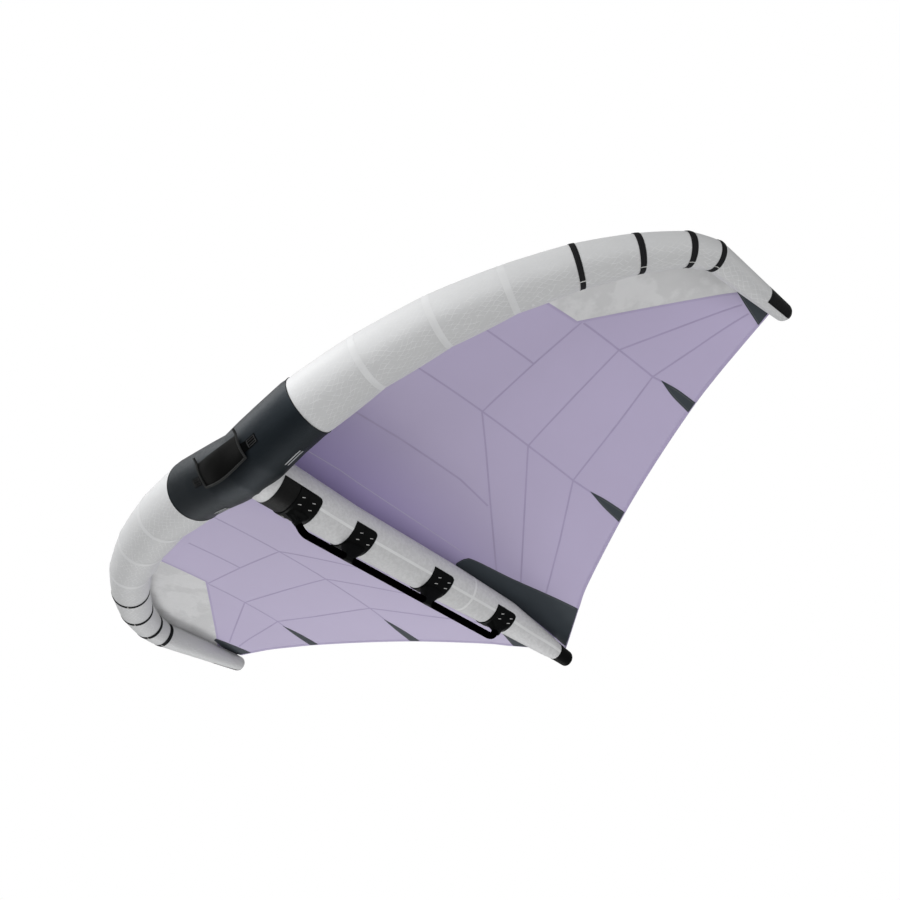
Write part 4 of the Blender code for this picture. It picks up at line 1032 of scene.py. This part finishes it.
def canopy():
    """One sheet from tip to tip, its two pale tip panels, seams, hem and patches."""
    half = steps(0, TIP_PANEL_RING, 36)[1:]
    half += steps(TIP_PANEL_RING, LAST_RING - 1, 24)[1:]
    half += steps(LAST_RING - 1, TIP_PANEL_LAST, 12)[1:] + steps(TIP_PANEL_LAST, CANOPY_LAST, 6)[1:]
    places = [-place for place in reversed(half)] + [0.0] + half
    ahead, behind = steps(0, 1, 12), steps(1, 2, 32)
    rows = ahead[:-1] + behind

    def share_at(place, row):
        split = tip_panel_share(abs(place))
        return split * row if row <= 1 else split + (1 - split) * (row - 1)

    def point(place, row, lift):
        share = share_at(place, row)
        return canopy_point(place, share, lift)

    def cloth(place, row):
        return canopy_cloth(place, share_at(place, row))

    def keep(i, j):
        near = min(abs(places[i]), abs(places[i + 1]))
        return near < TIP_PANEL_RING - 1e-6 or rows[j] >= 1

    sheet, area = skin("canopy", "lilac_cloth", point, places, rows, 0.0, CLOTH, cloth, keep=keep)
    on_body(sheet, "wing", "canopy_left", "canopy_right", finish="lilac_cloth")
    extras = [canopy_seams(), trailing_hem(), centre_web()]
    as_sheet(sheet, area, 3.30)
    for side, hand in ((1, "right"), (-1, "left")):
        tips = [side * place for place in half if place >= TIP_PANEL_RING - 1e-6 and place <= TIP_PANEL_LAST + 1e-6]
        panel, area = skin(f"tip_window_{hand}", "grey_cloth", point, tips, ahead, 0.0, CLOTH, cloth)
        on_body(panel, "wing", f"tip_panel_{hand}", finish="grey_cloth")
        seam = tip_panel_seam(side, hand)
        as_sheet(panel, area, 0.95)
        patches(side, hand)


def spread(points, spacing):
    """Points along a polyline, no further apart than the spacing."""
    made = [Vector(points[0])]
    for start, end in zip(points, points[1:]):
        start, end = Vector(start), Vector(end)
        count = max(1, math.ceil((end - start).length / spacing))
        made += [start.lerp(end, k / count) for k in range(1, count + 1)]
    return made


def add_strip(bm, line, side, width, low, high, spacing=0.03):
    """Tape of some width along a plan line on the canopy, added to a mesh."""
    layer = bm.loops.layers.uv.get("cloth") or bm.loops.layers.uv.new("cloth")
    path = spread(line, spacing)
    rows, reach = [], 0.0
    for index, point in enumerate(path):
        before, after = path[max(index - 1, 0)], path[min(index + 1, len(path) - 1)]
        along = (after - before).normalized()
        across = Vector((-along.y, along.x)) * width / 2
        spots = [canopy_place(*(point + across * step)) for step in (-1, 1)]
        reach += (point - path[index - 1]).length if index else 0.0
        lows = [canopy_point(side * place, share, low) for place, share in spots]
        highs = [canopy_point(side * place, share, high) for place, share in spots]
        rows.append((reach, [bm.verts.new(p) for p in (lows[0], lows[1], highs[1], highs[0])]))
    for (near_reach, near), (far_reach, far) in zip(rows, rows[1:]):
        for k in range(4):
            made = bm.faces.new((near[k], near[(k + 1) % 4], far[(k + 1) % 4], far[k]))
            v = (0, width, width, 0)
            for loop, uv in zip(made.loops, ((near_reach, v[k]), (near_reach, v[(k + 1) % 4]),
                                             (far_reach, v[(k + 1) % 4]), (far_reach, v[k]))):
                loop[layer].uv = uv
    bm.faces.new(rows[0][1])
    bm.faces.new(rows[-1][1])


def canopy_seams():
    """Sewn seams between the canopy's cloth panels, seen from above and below."""
    bm = bmesh.new()
    for side in (1, -1):
        for line in CANOPY_SEAMS:
            add_strip(bm, line, side, 0.0072, -0.0004, CLOTH + 0.0004)
    piece = linked("canopy_seams", bm, "lilac_seam", sharp=30)
    on_body(piece, "wing", finish="lilac_cloth")
    bm = bmesh.new()
    for side in (1, -1):
        add_strip(bm, STRUT_STITCH_LINE, side, 0.0035, -0.0003, 0.0001)
    stitch = linked("strut_stitch_lines", bm, "lilac_thread", sharp=30)
    on_body(stitch, "wing", finish="lilac_cloth")
    return piece


def centre_web():
    """Sewn web that joins the canopy's centre to the top of the strut and closes the tail's wedge."""
    bm = bmesh.new()
    rows = []
    for share in steps(0.012, 0.955, 70):
        spot = canopy_point(0.0, share)
        height, radius = strut_at(spot.y - NOSE.y)
        foot = NOSE.z + height + radius + 0.0002
        rows.append([bm.verts.new((x, spot.y, z)) for x, z in
                     ((0.003, foot), (0.003, spot.z - 0.0003), (-0.003, spot.z - 0.0003), (-0.003, foot))])
    for near, far in zip(rows, rows[1:]):
        for k in range(4):
            bm.faces.new((near[k], near[(k + 1) % 4], far[(k + 1) % 4], far[k]))
    bm.faces.new(rows[0])
    bm.faces.new(rows[-1])
    layer = bm.loops.layers.uv.new("cloth")
    for face in bm.faces:
        for loop in face.loops:
            loop[layer].uv = (loop.vert.co.z, loop.vert.co.y)
    return on_body(linked("centre_web", bm, "lilac_hem", sharp=30), "wing", finish="lilac_cloth")


def trailing_hem():
    """Folded hem along the canopy's free edge."""
    half = steps(0, TIP_PANEL_RING, 36)[1:] + steps(TIP_PANEL_RING, CANOPY_LAST, 50)[1:]
    places = [-place for place in reversed(half)] + [0.0] + half

    def point(place, inset, lift):
        start, end = rib_ends(abs(place))
        return canopy_point(place, 1 - inset / (end - start).length, lift)

    piece, _ = skin("trailing_hem", "lilac_hem", point, places, (0.014, 0.0065, -0.0010),
                    -0.0004, CLOTH + 0.0008, lambda place, inset: (canopy_cloth(place, 1)[0], inset))
    return on_body(piece, "wing", finish="lilac_cloth")


def tip_panel_seam(side, hand):
    """Seam round the inner edges of a tip panel."""
    bm = bmesh.new()
    for line in (
        [(place, tip_panel_share(place)) for place in steps(TIP_PANEL_RING, TIP_PANEL_LAST, 8)],
        [(TIP_PANEL_RING, TIP_PANEL_CORNER_SHARE * step) for step in (0.03, 0.35, 0.7, 1.0)],
    ):
        plan = [canopy_point(place, share).xy - NOSE.xy for place, share in line]
        add_strip(bm, plan, side, 0.010, -0.0005, CLOTH + 0.0005)
    return on_body(linked(f"tip_window_seam_{hand}", bm, "lilac_hem", sharp=30), "wing", finish="lilac_cloth")


def curve_at(points, share):
    """Point on a smooth curve through plan points."""
    place = share * (len(points) - 1)
    return Vector([smooth_between([point[k] for point in points], min(place, len(points) - 1 - 1e-9))
                   for k in range(2)])


def patch(name, node, side, inner, outer, rows, columns):
    """Dark reinforcement under the canopy between two plan curves, with its edge stitching."""
    def point(along, across, lift):
        spot = curve_at(inner, along).lerp(curve_at(outer, along), across)
        place, share = canopy_place(*spot)
        return canopy_point(side * place, share, lift)

    def cloth(along, across):
        spot = curve_at(inner, along).lerp(curve_at(outer, along), across)
        return spot.x, spot.y

    piece, area = skin(name, "slate_cloth", point, steps(0, 1, rows), steps(0, 1, columns),
                       -0.0011, 0.0009, cloth)
    on_body(piece, "wing", node, finish="slate_cloth")
    bm = bmesh.new()
    inset = 0.006
    for edge, other in ((outer, inner), (inner, outer)):
        line = []
        for share in steps(0.03, 0.985, rows * 2):
            spot, across = curve_at(edge, share), curve_at(other, share)
            gap = across - spot
            if gap.length < 3 * inset:
                continue
            line.append(spot + gap.normalized() * inset)
        if len(line) > 1:
            add_strip(bm, line, side, 0.0015, -0.0014, -0.0009)
    stitch = linked(f"{name}_stitching", bm, "grey_thread", sharp=30)
    on_body(stitch, "wing", finish="slate_cloth")
    length = (Vector(outer[-1]) - Vector(outer[0])).length
    as_sheet(piece, area, length)


def patches(side, hand):
    """All reinforcements of one side."""
    patch(f"tail_patch_{hand}", f"strut_patch_{hand}", side,
          ((0.028, 1.080), (0.024, 1.20), (0.016, 1.34), (0.014, 1.52), (0.006, 1.755)),
          ((0.040, 1.074), (0.078, 1.088), (0.096, 1.130), (0.126, 1.357), (0.192, 1.637)),
          36, 10)
    patch(f"tip_corner_patch_{hand}", f"tip_patch_{hand}", side,
          ((1.585, 1.040), (1.563, 1.126), (1.541, 1.2190)),
          ((1.606, 1.044), (1.628, 1.120), (1.624, 1.1990)), 14, 8)
    patch(f"edge_dart_inner_{hand}", f"edge_patch_inner_{hand}", side,
          ((0.6190, 1.264), (0.6035, 1.355), (0.5960, 1.4572)),
          ((0.6210, 1.264), (0.6345, 1.345), (0.6425, 1.4402)), 16, 4)
    patch(f"edge_dart_outer_{hand}", f"edge_patch_outer_{hand}", side,
          ((1.1460, 1.105), (1.1270, 1.190), (1.1180, 1.2945)),
          ((1.1480, 1.105), (1.1600, 1.185), (1.1650, 1.2832)), 16, 4)


# Boom and its saddles

def boom_corners():
    """Front end, two bends and rear end of the boom's centre line."""
    front = -BOOM_HALF_RUN - BOOM_FRONT_REACH
    rear = BOOM_HALF_RUN + BOOM_REAR_REACH
    return (
        Vector((0, front, strut_underside(front - NOSE.y) - BOOM_END_INSET)),
        Vector((0, -BOOM_HALF_RUN, 0)),
        Vector((0, BOOM_HALF_RUN, 0)),
        Vector((0, rear, strut_underside(rear - NOSE.y) - BOOM_END_INSET)),
    )


def boom():
    """Round boom with smooth bends."""
    front, front_bend, rear_bend, rear = boom_corners()
    path = [front]
    for before, corner, after in ((front, front_bend, rear_bend), (front_bend, rear_bend, rear)):
        inward = (before - corner).normalized()
        onward = (after - corner).normalized()
        half = inward.angle(onward) / 2
        centre = corner + (inward + onward).normalized() * BOOM_BEND_RADIUS / math.sin(half)
        first = corner + inward * BOOM_BEND_RADIUS / math.tan(half) - centre
        last = corner + onward * BOOM_BEND_RADIUS / math.tan(half) - centre
        path += [centre + first.slerp(last, share) * BOOM_BEND_RADIUS for share in steps(0, 1, 14)]
    path.append(rear)
    straight = [path[15].lerp(path[16], share) for share in steps(0, 1, 40)[1:-1]]
    path = path[:16] + straight + path[16:]
    piece = pipe("boom_tube", "black_boom", path, BOOM_GRIP_RADIUS, 40)
    on_body(piece, "wing", "boom", finish="black_boom")


def saddle(label, middle):
    """Moulded saddle: a plate with rounded corners, a raised rib and a web down to the boom."""
    front, front_bend, rear_bend, rear = boom_corners()
    first, last = (middle - NOSE.y + step * SADDLE_LENGTH / 2 for step in (-1, 1))
    backs = [first, first + 0.0015, first + 0.004] + steps(first + 0.010, first + 0.040, 4)
    backs += steps(first + 0.044, first + 0.049, 4) + steps(first + 0.056, last - 0.010, 6)
    backs += [last - 0.004, last - 0.0015, last]
    angles = [-160, -159, -157] + steps(-153, -27, 40) + [-23, -21, -20]

    def plate(back, angle, lift):
        across = abs(angle + 90) / 70
        edge = abs(back - (first + last) / 2) / (SADDLE_LENGTH / 2)
        if back > (first + last) / 2 and edge > 0.55 and across > 0.80:
            reach = (edge - 0.55) / 0.45
            limit = 0.80 + 0.20 * math.sqrt(max(0.0, 1 - reach ** 2.4))
            across_cut = min(across, limit)
            angle = -90 + math.copysign(across_cut * 70, angle + 90)
        return strut_point(back, angle, lift)

    def wall(back, angle):
        near = min(back - first, last - back, (70 - abs(angle + 90)) * math.pi / 180 * 0.08)
        rounded = math.sqrt(min(near / 0.002, 1.0)) if near > 0 else 0.0
        fold = 0.0024 * (1 - eased((back - first - 0.044) / 0.005))
        return 0.0006 + (0.0019 + fold) * rounded

    bm = bmesh.new()
    add_skin(bm, plate, backs, angles, CLEAR, wall, strut_cloth)
    if label in ("front", "rear"):
        end, bend = (front, front_bend) if label == "front" else (rear, rear_bend)
        along = (bend - end).normalized()
        low, low_length = end + along * 0.020, 0.034
        boss = [end - along * 0.013 + along * share for share in (0.0, 0.0015, 0.006, 0.040, 0.0455, 0.047)]
        sizes = (0.0140, 0.0162, 0.0170, 0.0168, 0.0162, 0.0149)
        add_pipe(bm, boss, lambda share: sizes[min(round(share * 5), 5)], 36)
    else:
        low, low_length = Vector((0, middle - 0.026, 0)), 0.048
    web(bm, middle, low, low_length)
    piece = linked(f"saddle_{label}", bm, "black_rubber", sharp=40)
    on_body(piece, "wing", f"boom_saddle_{label}", finish="black_rubber")
    bar_tacks(label, first)


def web(bm, middle, low, low_length):
    """Tapered web from under a saddle down round the boom, added to a mesh."""
    layer = bm.loops.layers.uv.get("cloth")
    grip = BOOM_GRIP_RADIUS + 0.0006
    rows = []
    for share in steps(1, 0, 14):
        soft = eased(share) * 0.35 + share * 0.65
        half_width = grip + (0.026 - grip) * soft ** 1.6
        half_length = (low_length + (0.100 - low_length) * soft) / 2
        centre_y = low.y + (middle - low.y) * share
        rows.append((share, half_width, half_length, centre_y))
    rings = []
    for share, half_width, half_length, centre_y in rows:
        top = strut_underside(centre_y - NOSE.y) + 0.0015
        level = low.z + (top - low.z) * share
        ring = []
        for turn in [math.tau * k / 40 for k in range(40)]:
            c, s = math.cos(turn), math.sin(turn)
            x = math.copysign(abs(c) ** 0.5, c) * half_width
            y = math.copysign(abs(s) ** 0.35, s) * half_length
            z = level
            if share == 1:
                z = strut_height_under(x, centre_y + y) + 0.0015
            ring.append(bm.verts.new(Vector((x, centre_y + y, z))))
        rings.append(ring)
    for step in (0.35, 0.62, 0.84, 0.97):
        _, half_width, half_length, centre_y = rows[-1]
        drop = math.asin(step)
        ring = []
        for turn in [math.tau * k / 40 for k in range(40)]:
            c, s = math.cos(turn), math.sin(turn)
            x = math.copysign(abs(c) ** 0.5, c) * half_width * math.cos(drop)
            y = math.copysign(abs(s) ** 0.35, s) * (half_length - 0.003 * step)
            ring.append(bm.verts.new(Vector((x, centre_y + y, low.z - grip * step))))
        rings.append(ring)
    for near, far in zip(rings, rings[1:]):
        for k in range(40):
            bm.faces.new((near[k], near[(k + 1) % 40], far[(k + 1) % 40], far[k]))
    bm.faces.new(rings[0])
    bm.faces.new(rings[-1])
    for ring in rings:
        for vert in ring:
            for loop in vert.link_loops:
                loop[layer].uv = (vert.co.y, vert.co.z)


def strut_height_under(x, y):
    """Height of the strut's lower surface over a plan point."""
    height, radius = strut_at(y - NOSE.y)
    return height + NOSE.z - math.sqrt(max(radius ** 2 - x ** 2, 0.0))


def bar_tacks(label, first):
    """Eight short pale bar tacks that sew a saddle's plate to the strut, four on each side."""
    offsets = {"front": (0.025, 0.076), "second": (0.036, 0.089), "third": (0.038, 0.090), "rear": (0.036, 0.088)}
    bm = bmesh.new()
    for side in (1, -1):
        for offset in offsets[label]:
            for angle in (-42, -60):
                _, radius = strut_at(first + offset)
                lean = math.degrees(0.0022 / radius)
                lift = 0.0052 if offset < 0.045 else 0.0030
                path = [
                    strut_point(first + offset + 0.0062 * share, (angle + lean * share) if side > 0
                                else 180 - (angle + lean * share), lift)
                    for share in steps(-1, 1, 8)
                ]
                add_pipe(bm, path, 0.0016, 8)
    on_body(linked(f"bar_tacks_{label}", bm, "pale_thread"), "wing", finish="pale_cloth")


def boom_saddles():
    """Four saddles and the dark patch ahead of the front one."""
    front, _, _, rear = boom_corners()
    middles = {label: BOOM_HALF_RUN * share for label, share in HANGER_SHARES.items()}
    middles |= {"front": front.y + FRONT_SOCKET_INSET, "rear": rear.y - REAR_SOCKET_INSET}
    for label, middle in middles.items():
        saddle(label, middle)
    last = middles["front"] - NOSE.y - SADDLE_LENGTH / 2
    piece, area = skin("front_patch", "black_cloth", strut_point, steps(FRONT_PATCH_START, last, 8),
                       steps(-160, -20, 50), CLEAR, 0.0009, strut_cloth)
    on_body(piece, "wing", "boom_front_patch", finish="dark_cloth")
    as_sheet(piece, area, 0.23)


# Grab handle

def handle_lift(span):
    """Height of the handle's band over the tube at a distance from the centre plane."""
    return HANDLE_END_LIFT + HANDLE_BOW * math.cos(math.pi * span / HANDLE_LENGTH)


def handle():
    """Bowed grip band with a ribbed cord round three edges, and its webbing tabs with their stitching."""
    low, high = HANDLE_ANGLES
    spans = steps(-HANDLE_LENGTH / 2 + 0.001, HANDLE_LENGTH / 2 + 0.004, 48)
    angles = steps(low + 1, high - 1, 20)
    near, far = spans[0] - 0.003, spans[-1] + 0.003

    def point(span, angle, lift):
        start, middle, end = (tube_point_at(stop, angle, handle_lift(stop) + lift)
                              for stop in (near, (near + far) / 2, far))
        share = (span - near) / (far - near)
        return start.lerp(end, share) + (middle - start.lerp(end, 0.5)) * math.sin(math.pi * share)

    def wall(span, angle):
        across = (angle - (low + high) / 2) / ((high - low) / 2)
        crease = math.sin(span * 40 + across * 4) * math.exp(-(across * 1.4) ** 2)
        return 0.0028 + 0.0012 * (1 - across ** 4) + 0.0005 * crease

    band, _ = skin("handle_grip", "grip_cloth", point, spans, angles, 0.0, wall,
                   lambda span, angle: (span, math.radians(angle) * 0.17))
    on_body(band, "handle", "handle_band", finish="black_webbing")
    over = GRIP_CORD_OVER

    def rim_point(span, angle):
        return point(span, angle, 0.0062 + 0.012 * max(low - angle, 0.0) / over)

    rim = [rim_point(near, angle) for angle in steps(low - over, high, 70)]
    rim += [rim_point(span, high) for span in steps(near, far, 130)[1:]]
    rim += [rim_point(far, angle) for angle in steps(high, low - over, 70)[1:]]
    ends = len(rim) - 1

    def ribbed(share):
        return 0.0044 + 0.0007 * (-1) ** round(share * ends / 2)

    cord = pipe("handle_cord", "grip_cord", rim, ribbed, 10)
    on_body(cord, "handle", finish="black_webbing")
    for side, hand in ((1, "right"), (-1, "left")):
        handle_tab(side, hand)


def handle_tab(side, hand):
    """Webbing tab sewn to the wrap; it rises to the end of the handle."""
    low, high = TAB_ANGLES
    end = HANDLE_LENGTH / 2
    stations = (
        [(end + 0.002, HANDLE_END_LIFT), (end + 0.010, HANDLE_END_LIFT - 0.0035)]
        + [(end + 0.020, 0.0032), (TAB_START - 0.001, 0.0006), (TAB_START + 0.004, CLEAR + 0.0002)]
        + [(TAB_START + reach, CLEAR + 0.0002) for reach in (0.012, 0.022, 0.032, TAB_LENGTH)]
    )
    heights = dict(stations)
    spans = [span for span, _ in stations]

    def point(span, angle, lift):
        return tube_point_at(side * span, angle, heights[span] + lift)

    tab, area = skin(f"grip_tab_{hand}", "tab_webbing", point, spans, steps(low, high, 8), 0.0, 0.0026,
                     lambda span, angle: (span, math.radians(angle) * 0.13))
    on_body(tab, "wing", f"handle_tab_{hand}", finish="black_webbing")
    bm = bmesh.new()
    inner, outer = TAB_START + 0.004, TAB_START + TAB_LENGTH - 0.004
    square = ((inner, low + 2), (outer, low + 2), (outer, high - 2), (inner, high - 2))
    lines = [(square[k], square[(k + 1) % 4]) for k in range(4)]
    lines += [((inner, low + (high - low) * share), (outer, low + (high - low) * share)) for share in (0.36, 0.64)]
    for start, finish in lines:
        path = [
            tube_point_at(side * (start[0] + (finish[0] - start[0]) * s), start[1] + (finish[1] - start[1]) * s, 0.0034)
            for s in steps(0, 1, 10)
        ]
        add_pipe(bm, path, 0.0007, 6)
    stitch = on_body(linked(f"grip_tab_stitching_{hand}", bm, "tab_thread"), "wing", finish="black_webbing")
    as_sheet(tab, area, 0.074)


# Welted slits and valve

def access_welts():
    """Welted slits in the wrap beside the strut: two pale lips with a dark slit between."""
    for side, hand in ((1, "right"), (-1, "left")):
        places = [side * place for place in steps(1.47, 2.22, 16)]
        bm = bmesh.new()
        add_skin(bm, tube_point, places, (-68, -66.6, -65.0), CLEAR + 0.0009, 0.0010, tube_cloth)
        add_skin(bm, tube_point, places, (-61.0, -59.4, -58), CLEAR + 0.0009, 0.0010, tube_cloth)
        lips = linked(f"slit_lips_{hand}", bm, "slit_tape")
        on_body(lips, "wing", f"access_welt_{hand}", finish="grey_cloth")
        slit, area = skin(f"slit_tape_{hand}", "black_cloth", tube_point, places, (-68, -63, -58),
                          CLEAR + 0.0003, 0.0007, tube_cloth)
        on_body(slit, "wing", finish="dark_cloth")
        as_sheet(slit, area, 0.09)


def joint(name):
    """A joint of the frame by its name."""
    return next(j for j in frame["joints"] if j["name"] == name)


def valve():
    """Inflation valve: a welded base, the turning insert and its hinged plug."""
    turn, lift = joint("valve_insert_turn"), joint("valve_cap_lift")
    centre, out = Vector(turn["pos_m"]), Vector(turn["axis"]).normalized()
    hinge, pin = Vector(lift["pos_m"]), Vector(lift["axis"]).normalized()
    along = (hinge - centre)
    along = (along - out * along.dot(out)).normalized()
    place = Matrix.Translation(centre) @ Matrix((along, out.cross(along), out)).transposed().to_4x4()
    top = 0.01335
    bm = bmesh.new()
    add_turned(bm, ((0.0131, -0.002), (0.0170, -0.002), (0.0170, top - 0.001), (0.0160, top), (0.0140, top),
                    (0.0131, top - 0.001)), place)
    add_turned(bm, ((0.0172, 0.0088), (0.0205, 0.0088), (0.0215, 0.0092), (0.0205, 0.0100), (0.0172, 0.0104)), place)
    on_body(linked("valve_seat", bm, "valve_plastic"), "wing", "valve_base", finish="valve_plastic")
    seat = top + 0.0003
    bm = bmesh.new()
    add_turned(bm, ((0.0086, seat - 0.010), (0.0126, seat - 0.010), (0.0126, seat), (0.0170, seat),
                    (0.0175, seat + 0.0005), (0.0175, seat + 0.0015), (0.0170, seat + 0.002),
                    (0.0092, seat + 0.002), (0.0086, seat + 0.0014)), place)
    for side in (-1, 1):
        ear = [hinge + pin * (side * 0.0043) - along * 0.0052 + out * -0.0020,
               hinge + pin * (side * 0.0043) + out * 0.0002]
        add_pipe(bm, [ear[0], ear[0].lerp(ear[1], 0.5), ear[1]], 0.0016, 12, axis=pin)
    on_body(linked("valve_core", bm, "valve_plastic"), "valve_insert", "valve_insert", finish="valve_plastic")
    seat += 0.0023
    bm = bmesh.new()
    add_turned(bm, ((0, seat - 0.003), (0.0072, seat - 0.003), (0.0078, seat - 0.002), (0.0080, seat),
                    (0.0152, seat), (0.0160, seat + 0.0008), (0.0160, seat + 0.0020), (0.0150, seat + 0.003),
                    (0.0110, seat + 0.0032), (0.0100, seat + 0.0024), (0, seat + 0.0026)), place)
    add_pipe(bm, [hinge - pin * 0.003, hinge, hinge + pin * 0.003], 0.0015, 14)
    add_pipe(bm, [hinge - along * 0.0055 + out * 0.0002, hinge - along * 0.0025 + out * 0.0002, hinge], 0.0022, 12,
             flat=0.6, axis=pin)
    on_body(linked("valve_plug", bm, "black_rubber"), "valve_cap", "valve_cap", finish="black_rubber")


def hidden_film():
    """Film finish on the bladders and hose inside."""
    for node in ("leading_edge_bladder", "strut_bladder", "transfer_hose"):
        mesh = frame["nodes"][node].data
        mesh.materials.clear()
        mesh.materials.append(FINISHES["clear_film"])


# Stage

def studio():
    """Pale floor far below, a plain bright surround, soft lamps and the camera."""
    floor_mesh = bpy.data.meshes.new("floor")
    reach, level = 60.0, -9.0
    floor_mesh.from_pydata([(-reach, -reach, level), (reach, -reach, level), (reach, reach, level),
                            (-reach, reach, level)], [], [(0, 1, 2, 3)])
    floor = bpy.data.objects.new("floor", floor_mesh)
    bpy.context.scene.collection.objects.link(floor)
    look = Finish("floor")
    look.finish((0.86, 0.86, 0.86, 1.0), 0.9)
    path = look.node("ShaderNodeLightPath", output="Is Camera Ray")
    glow = look.node("ShaderNodeEmission", values={"Color": (1, 1, 1, 1), "Strength": 1.0})
    mixed = look.node("ShaderNodeMixShader", values={0: path * 0.92, 1: Value(look, look.surface.outputs[0]),
                                                     2: glow})
    look.tree.links.new(mixed.socket, look.tree.nodes["Material Output"].inputs["Surface"])
    floor_mesh.materials.append(look.material)
    surround()
    for name, spot, size, power, aim in (
        ("nose_lamp", (1.4, -6.0, -0.8), 3.0, 147.0, (0.3, -0.4, 0.2)),
        ("high_nose_lamp", (0.4, -6.0, 2.2), 3.0, 102.0, (0.3, -0.4, 0.2)),
        ("left_lamp", (-4.6, 2.6, -4.0), 3.0, 196.0, (-0.6, 0.5, 0.2)),
        ("low_lamp", (1.0, 2.6, -5.5), 5.0, 32.0, (0.4, 0.4, 0.2)),
        ("right_lamp", (4.6, 1.0, -1.6), 2.5, 47.0, (0.1, 0.2, 0.1)),
        ("top_lamp", (-2.4, -4.0, 4.2), 3.5, 170.0, (0, -0.2, 0.3)),
    ):
        lamp = bpy.data.lights.new(name, "AREA")
        lamp.size = size
        lamp.energy = power
        placed = bpy.data.objects.new(name, lamp)
        placed.location = spot
        placed.rotation_euler = (Vector(aim) - Vector(spot)).to_track_quat("-Z", "Y").to_euler()
        placed.visible_camera = False
        bpy.context.scene.collection.objects.link(placed)
    camera = bpy.data.cameras.new("camera")
    camera.lens = 65.35
    camera.sensor_width = 36.0
    camera.clip_end = 200.0
    view = bpy.data.objects.new("camera", camera)
    right = Vector((0.69077525, 0.72306911, -0.00078098))
    down = Vector((-0.4706014, 0.44876275, -0.75970146))
    ahead = Vector((-0.54896619, 0.5251505, 0.65027154))
    turn = Matrix((right, -down, -ahead)).transposed().to_4x4()
    view.matrix_world = Matrix.Translation(Vector((3.9097, -3.4744, -3.7635))) @ turn
    bpy.context.scene.collection.objects.link(view)
    bpy.context.scene.camera = view
    bpy.context.scene.view_settings.view_transform = "Standard"


def surround():
    """White world for what looks at it, and a plain level of light on the wing."""
    world = bpy.data.worlds.new("surround")
    bpy.context.scene.world = world
    world.use_nodes = True
    tree = world.node_tree
    background = tree.nodes["Background"]
    background.inputs["Color"].default_value = (1, 1, 1, 1)
    path = tree.nodes.new("ShaderNodeLightPath")
    seen = tree.nodes.new("ShaderNodeMath")
    seen.operation = "MAXIMUM"
    tree.links.new(path.outputs["Is Camera Ray"], seen.inputs[0])
    tree.links.new(path.outputs["Is Transmission Ray"], seen.inputs[1])
    strength = tree.nodes.new("ShaderNodeMapRange")
    strength.inputs["To Min"].default_value = 0.40
    strength.inputs["To Max"].default_value = 1.0
    tree.links.new(seen.outputs[0], strength.inputs["Value"])
    tree.links.new(strength.outputs[0], background.inputs["Strength"])


studio()
leading_edge()
strut()
canopy()
boom()
boom_saddles()
handle()
access_welts()
valve()
hidden_film()
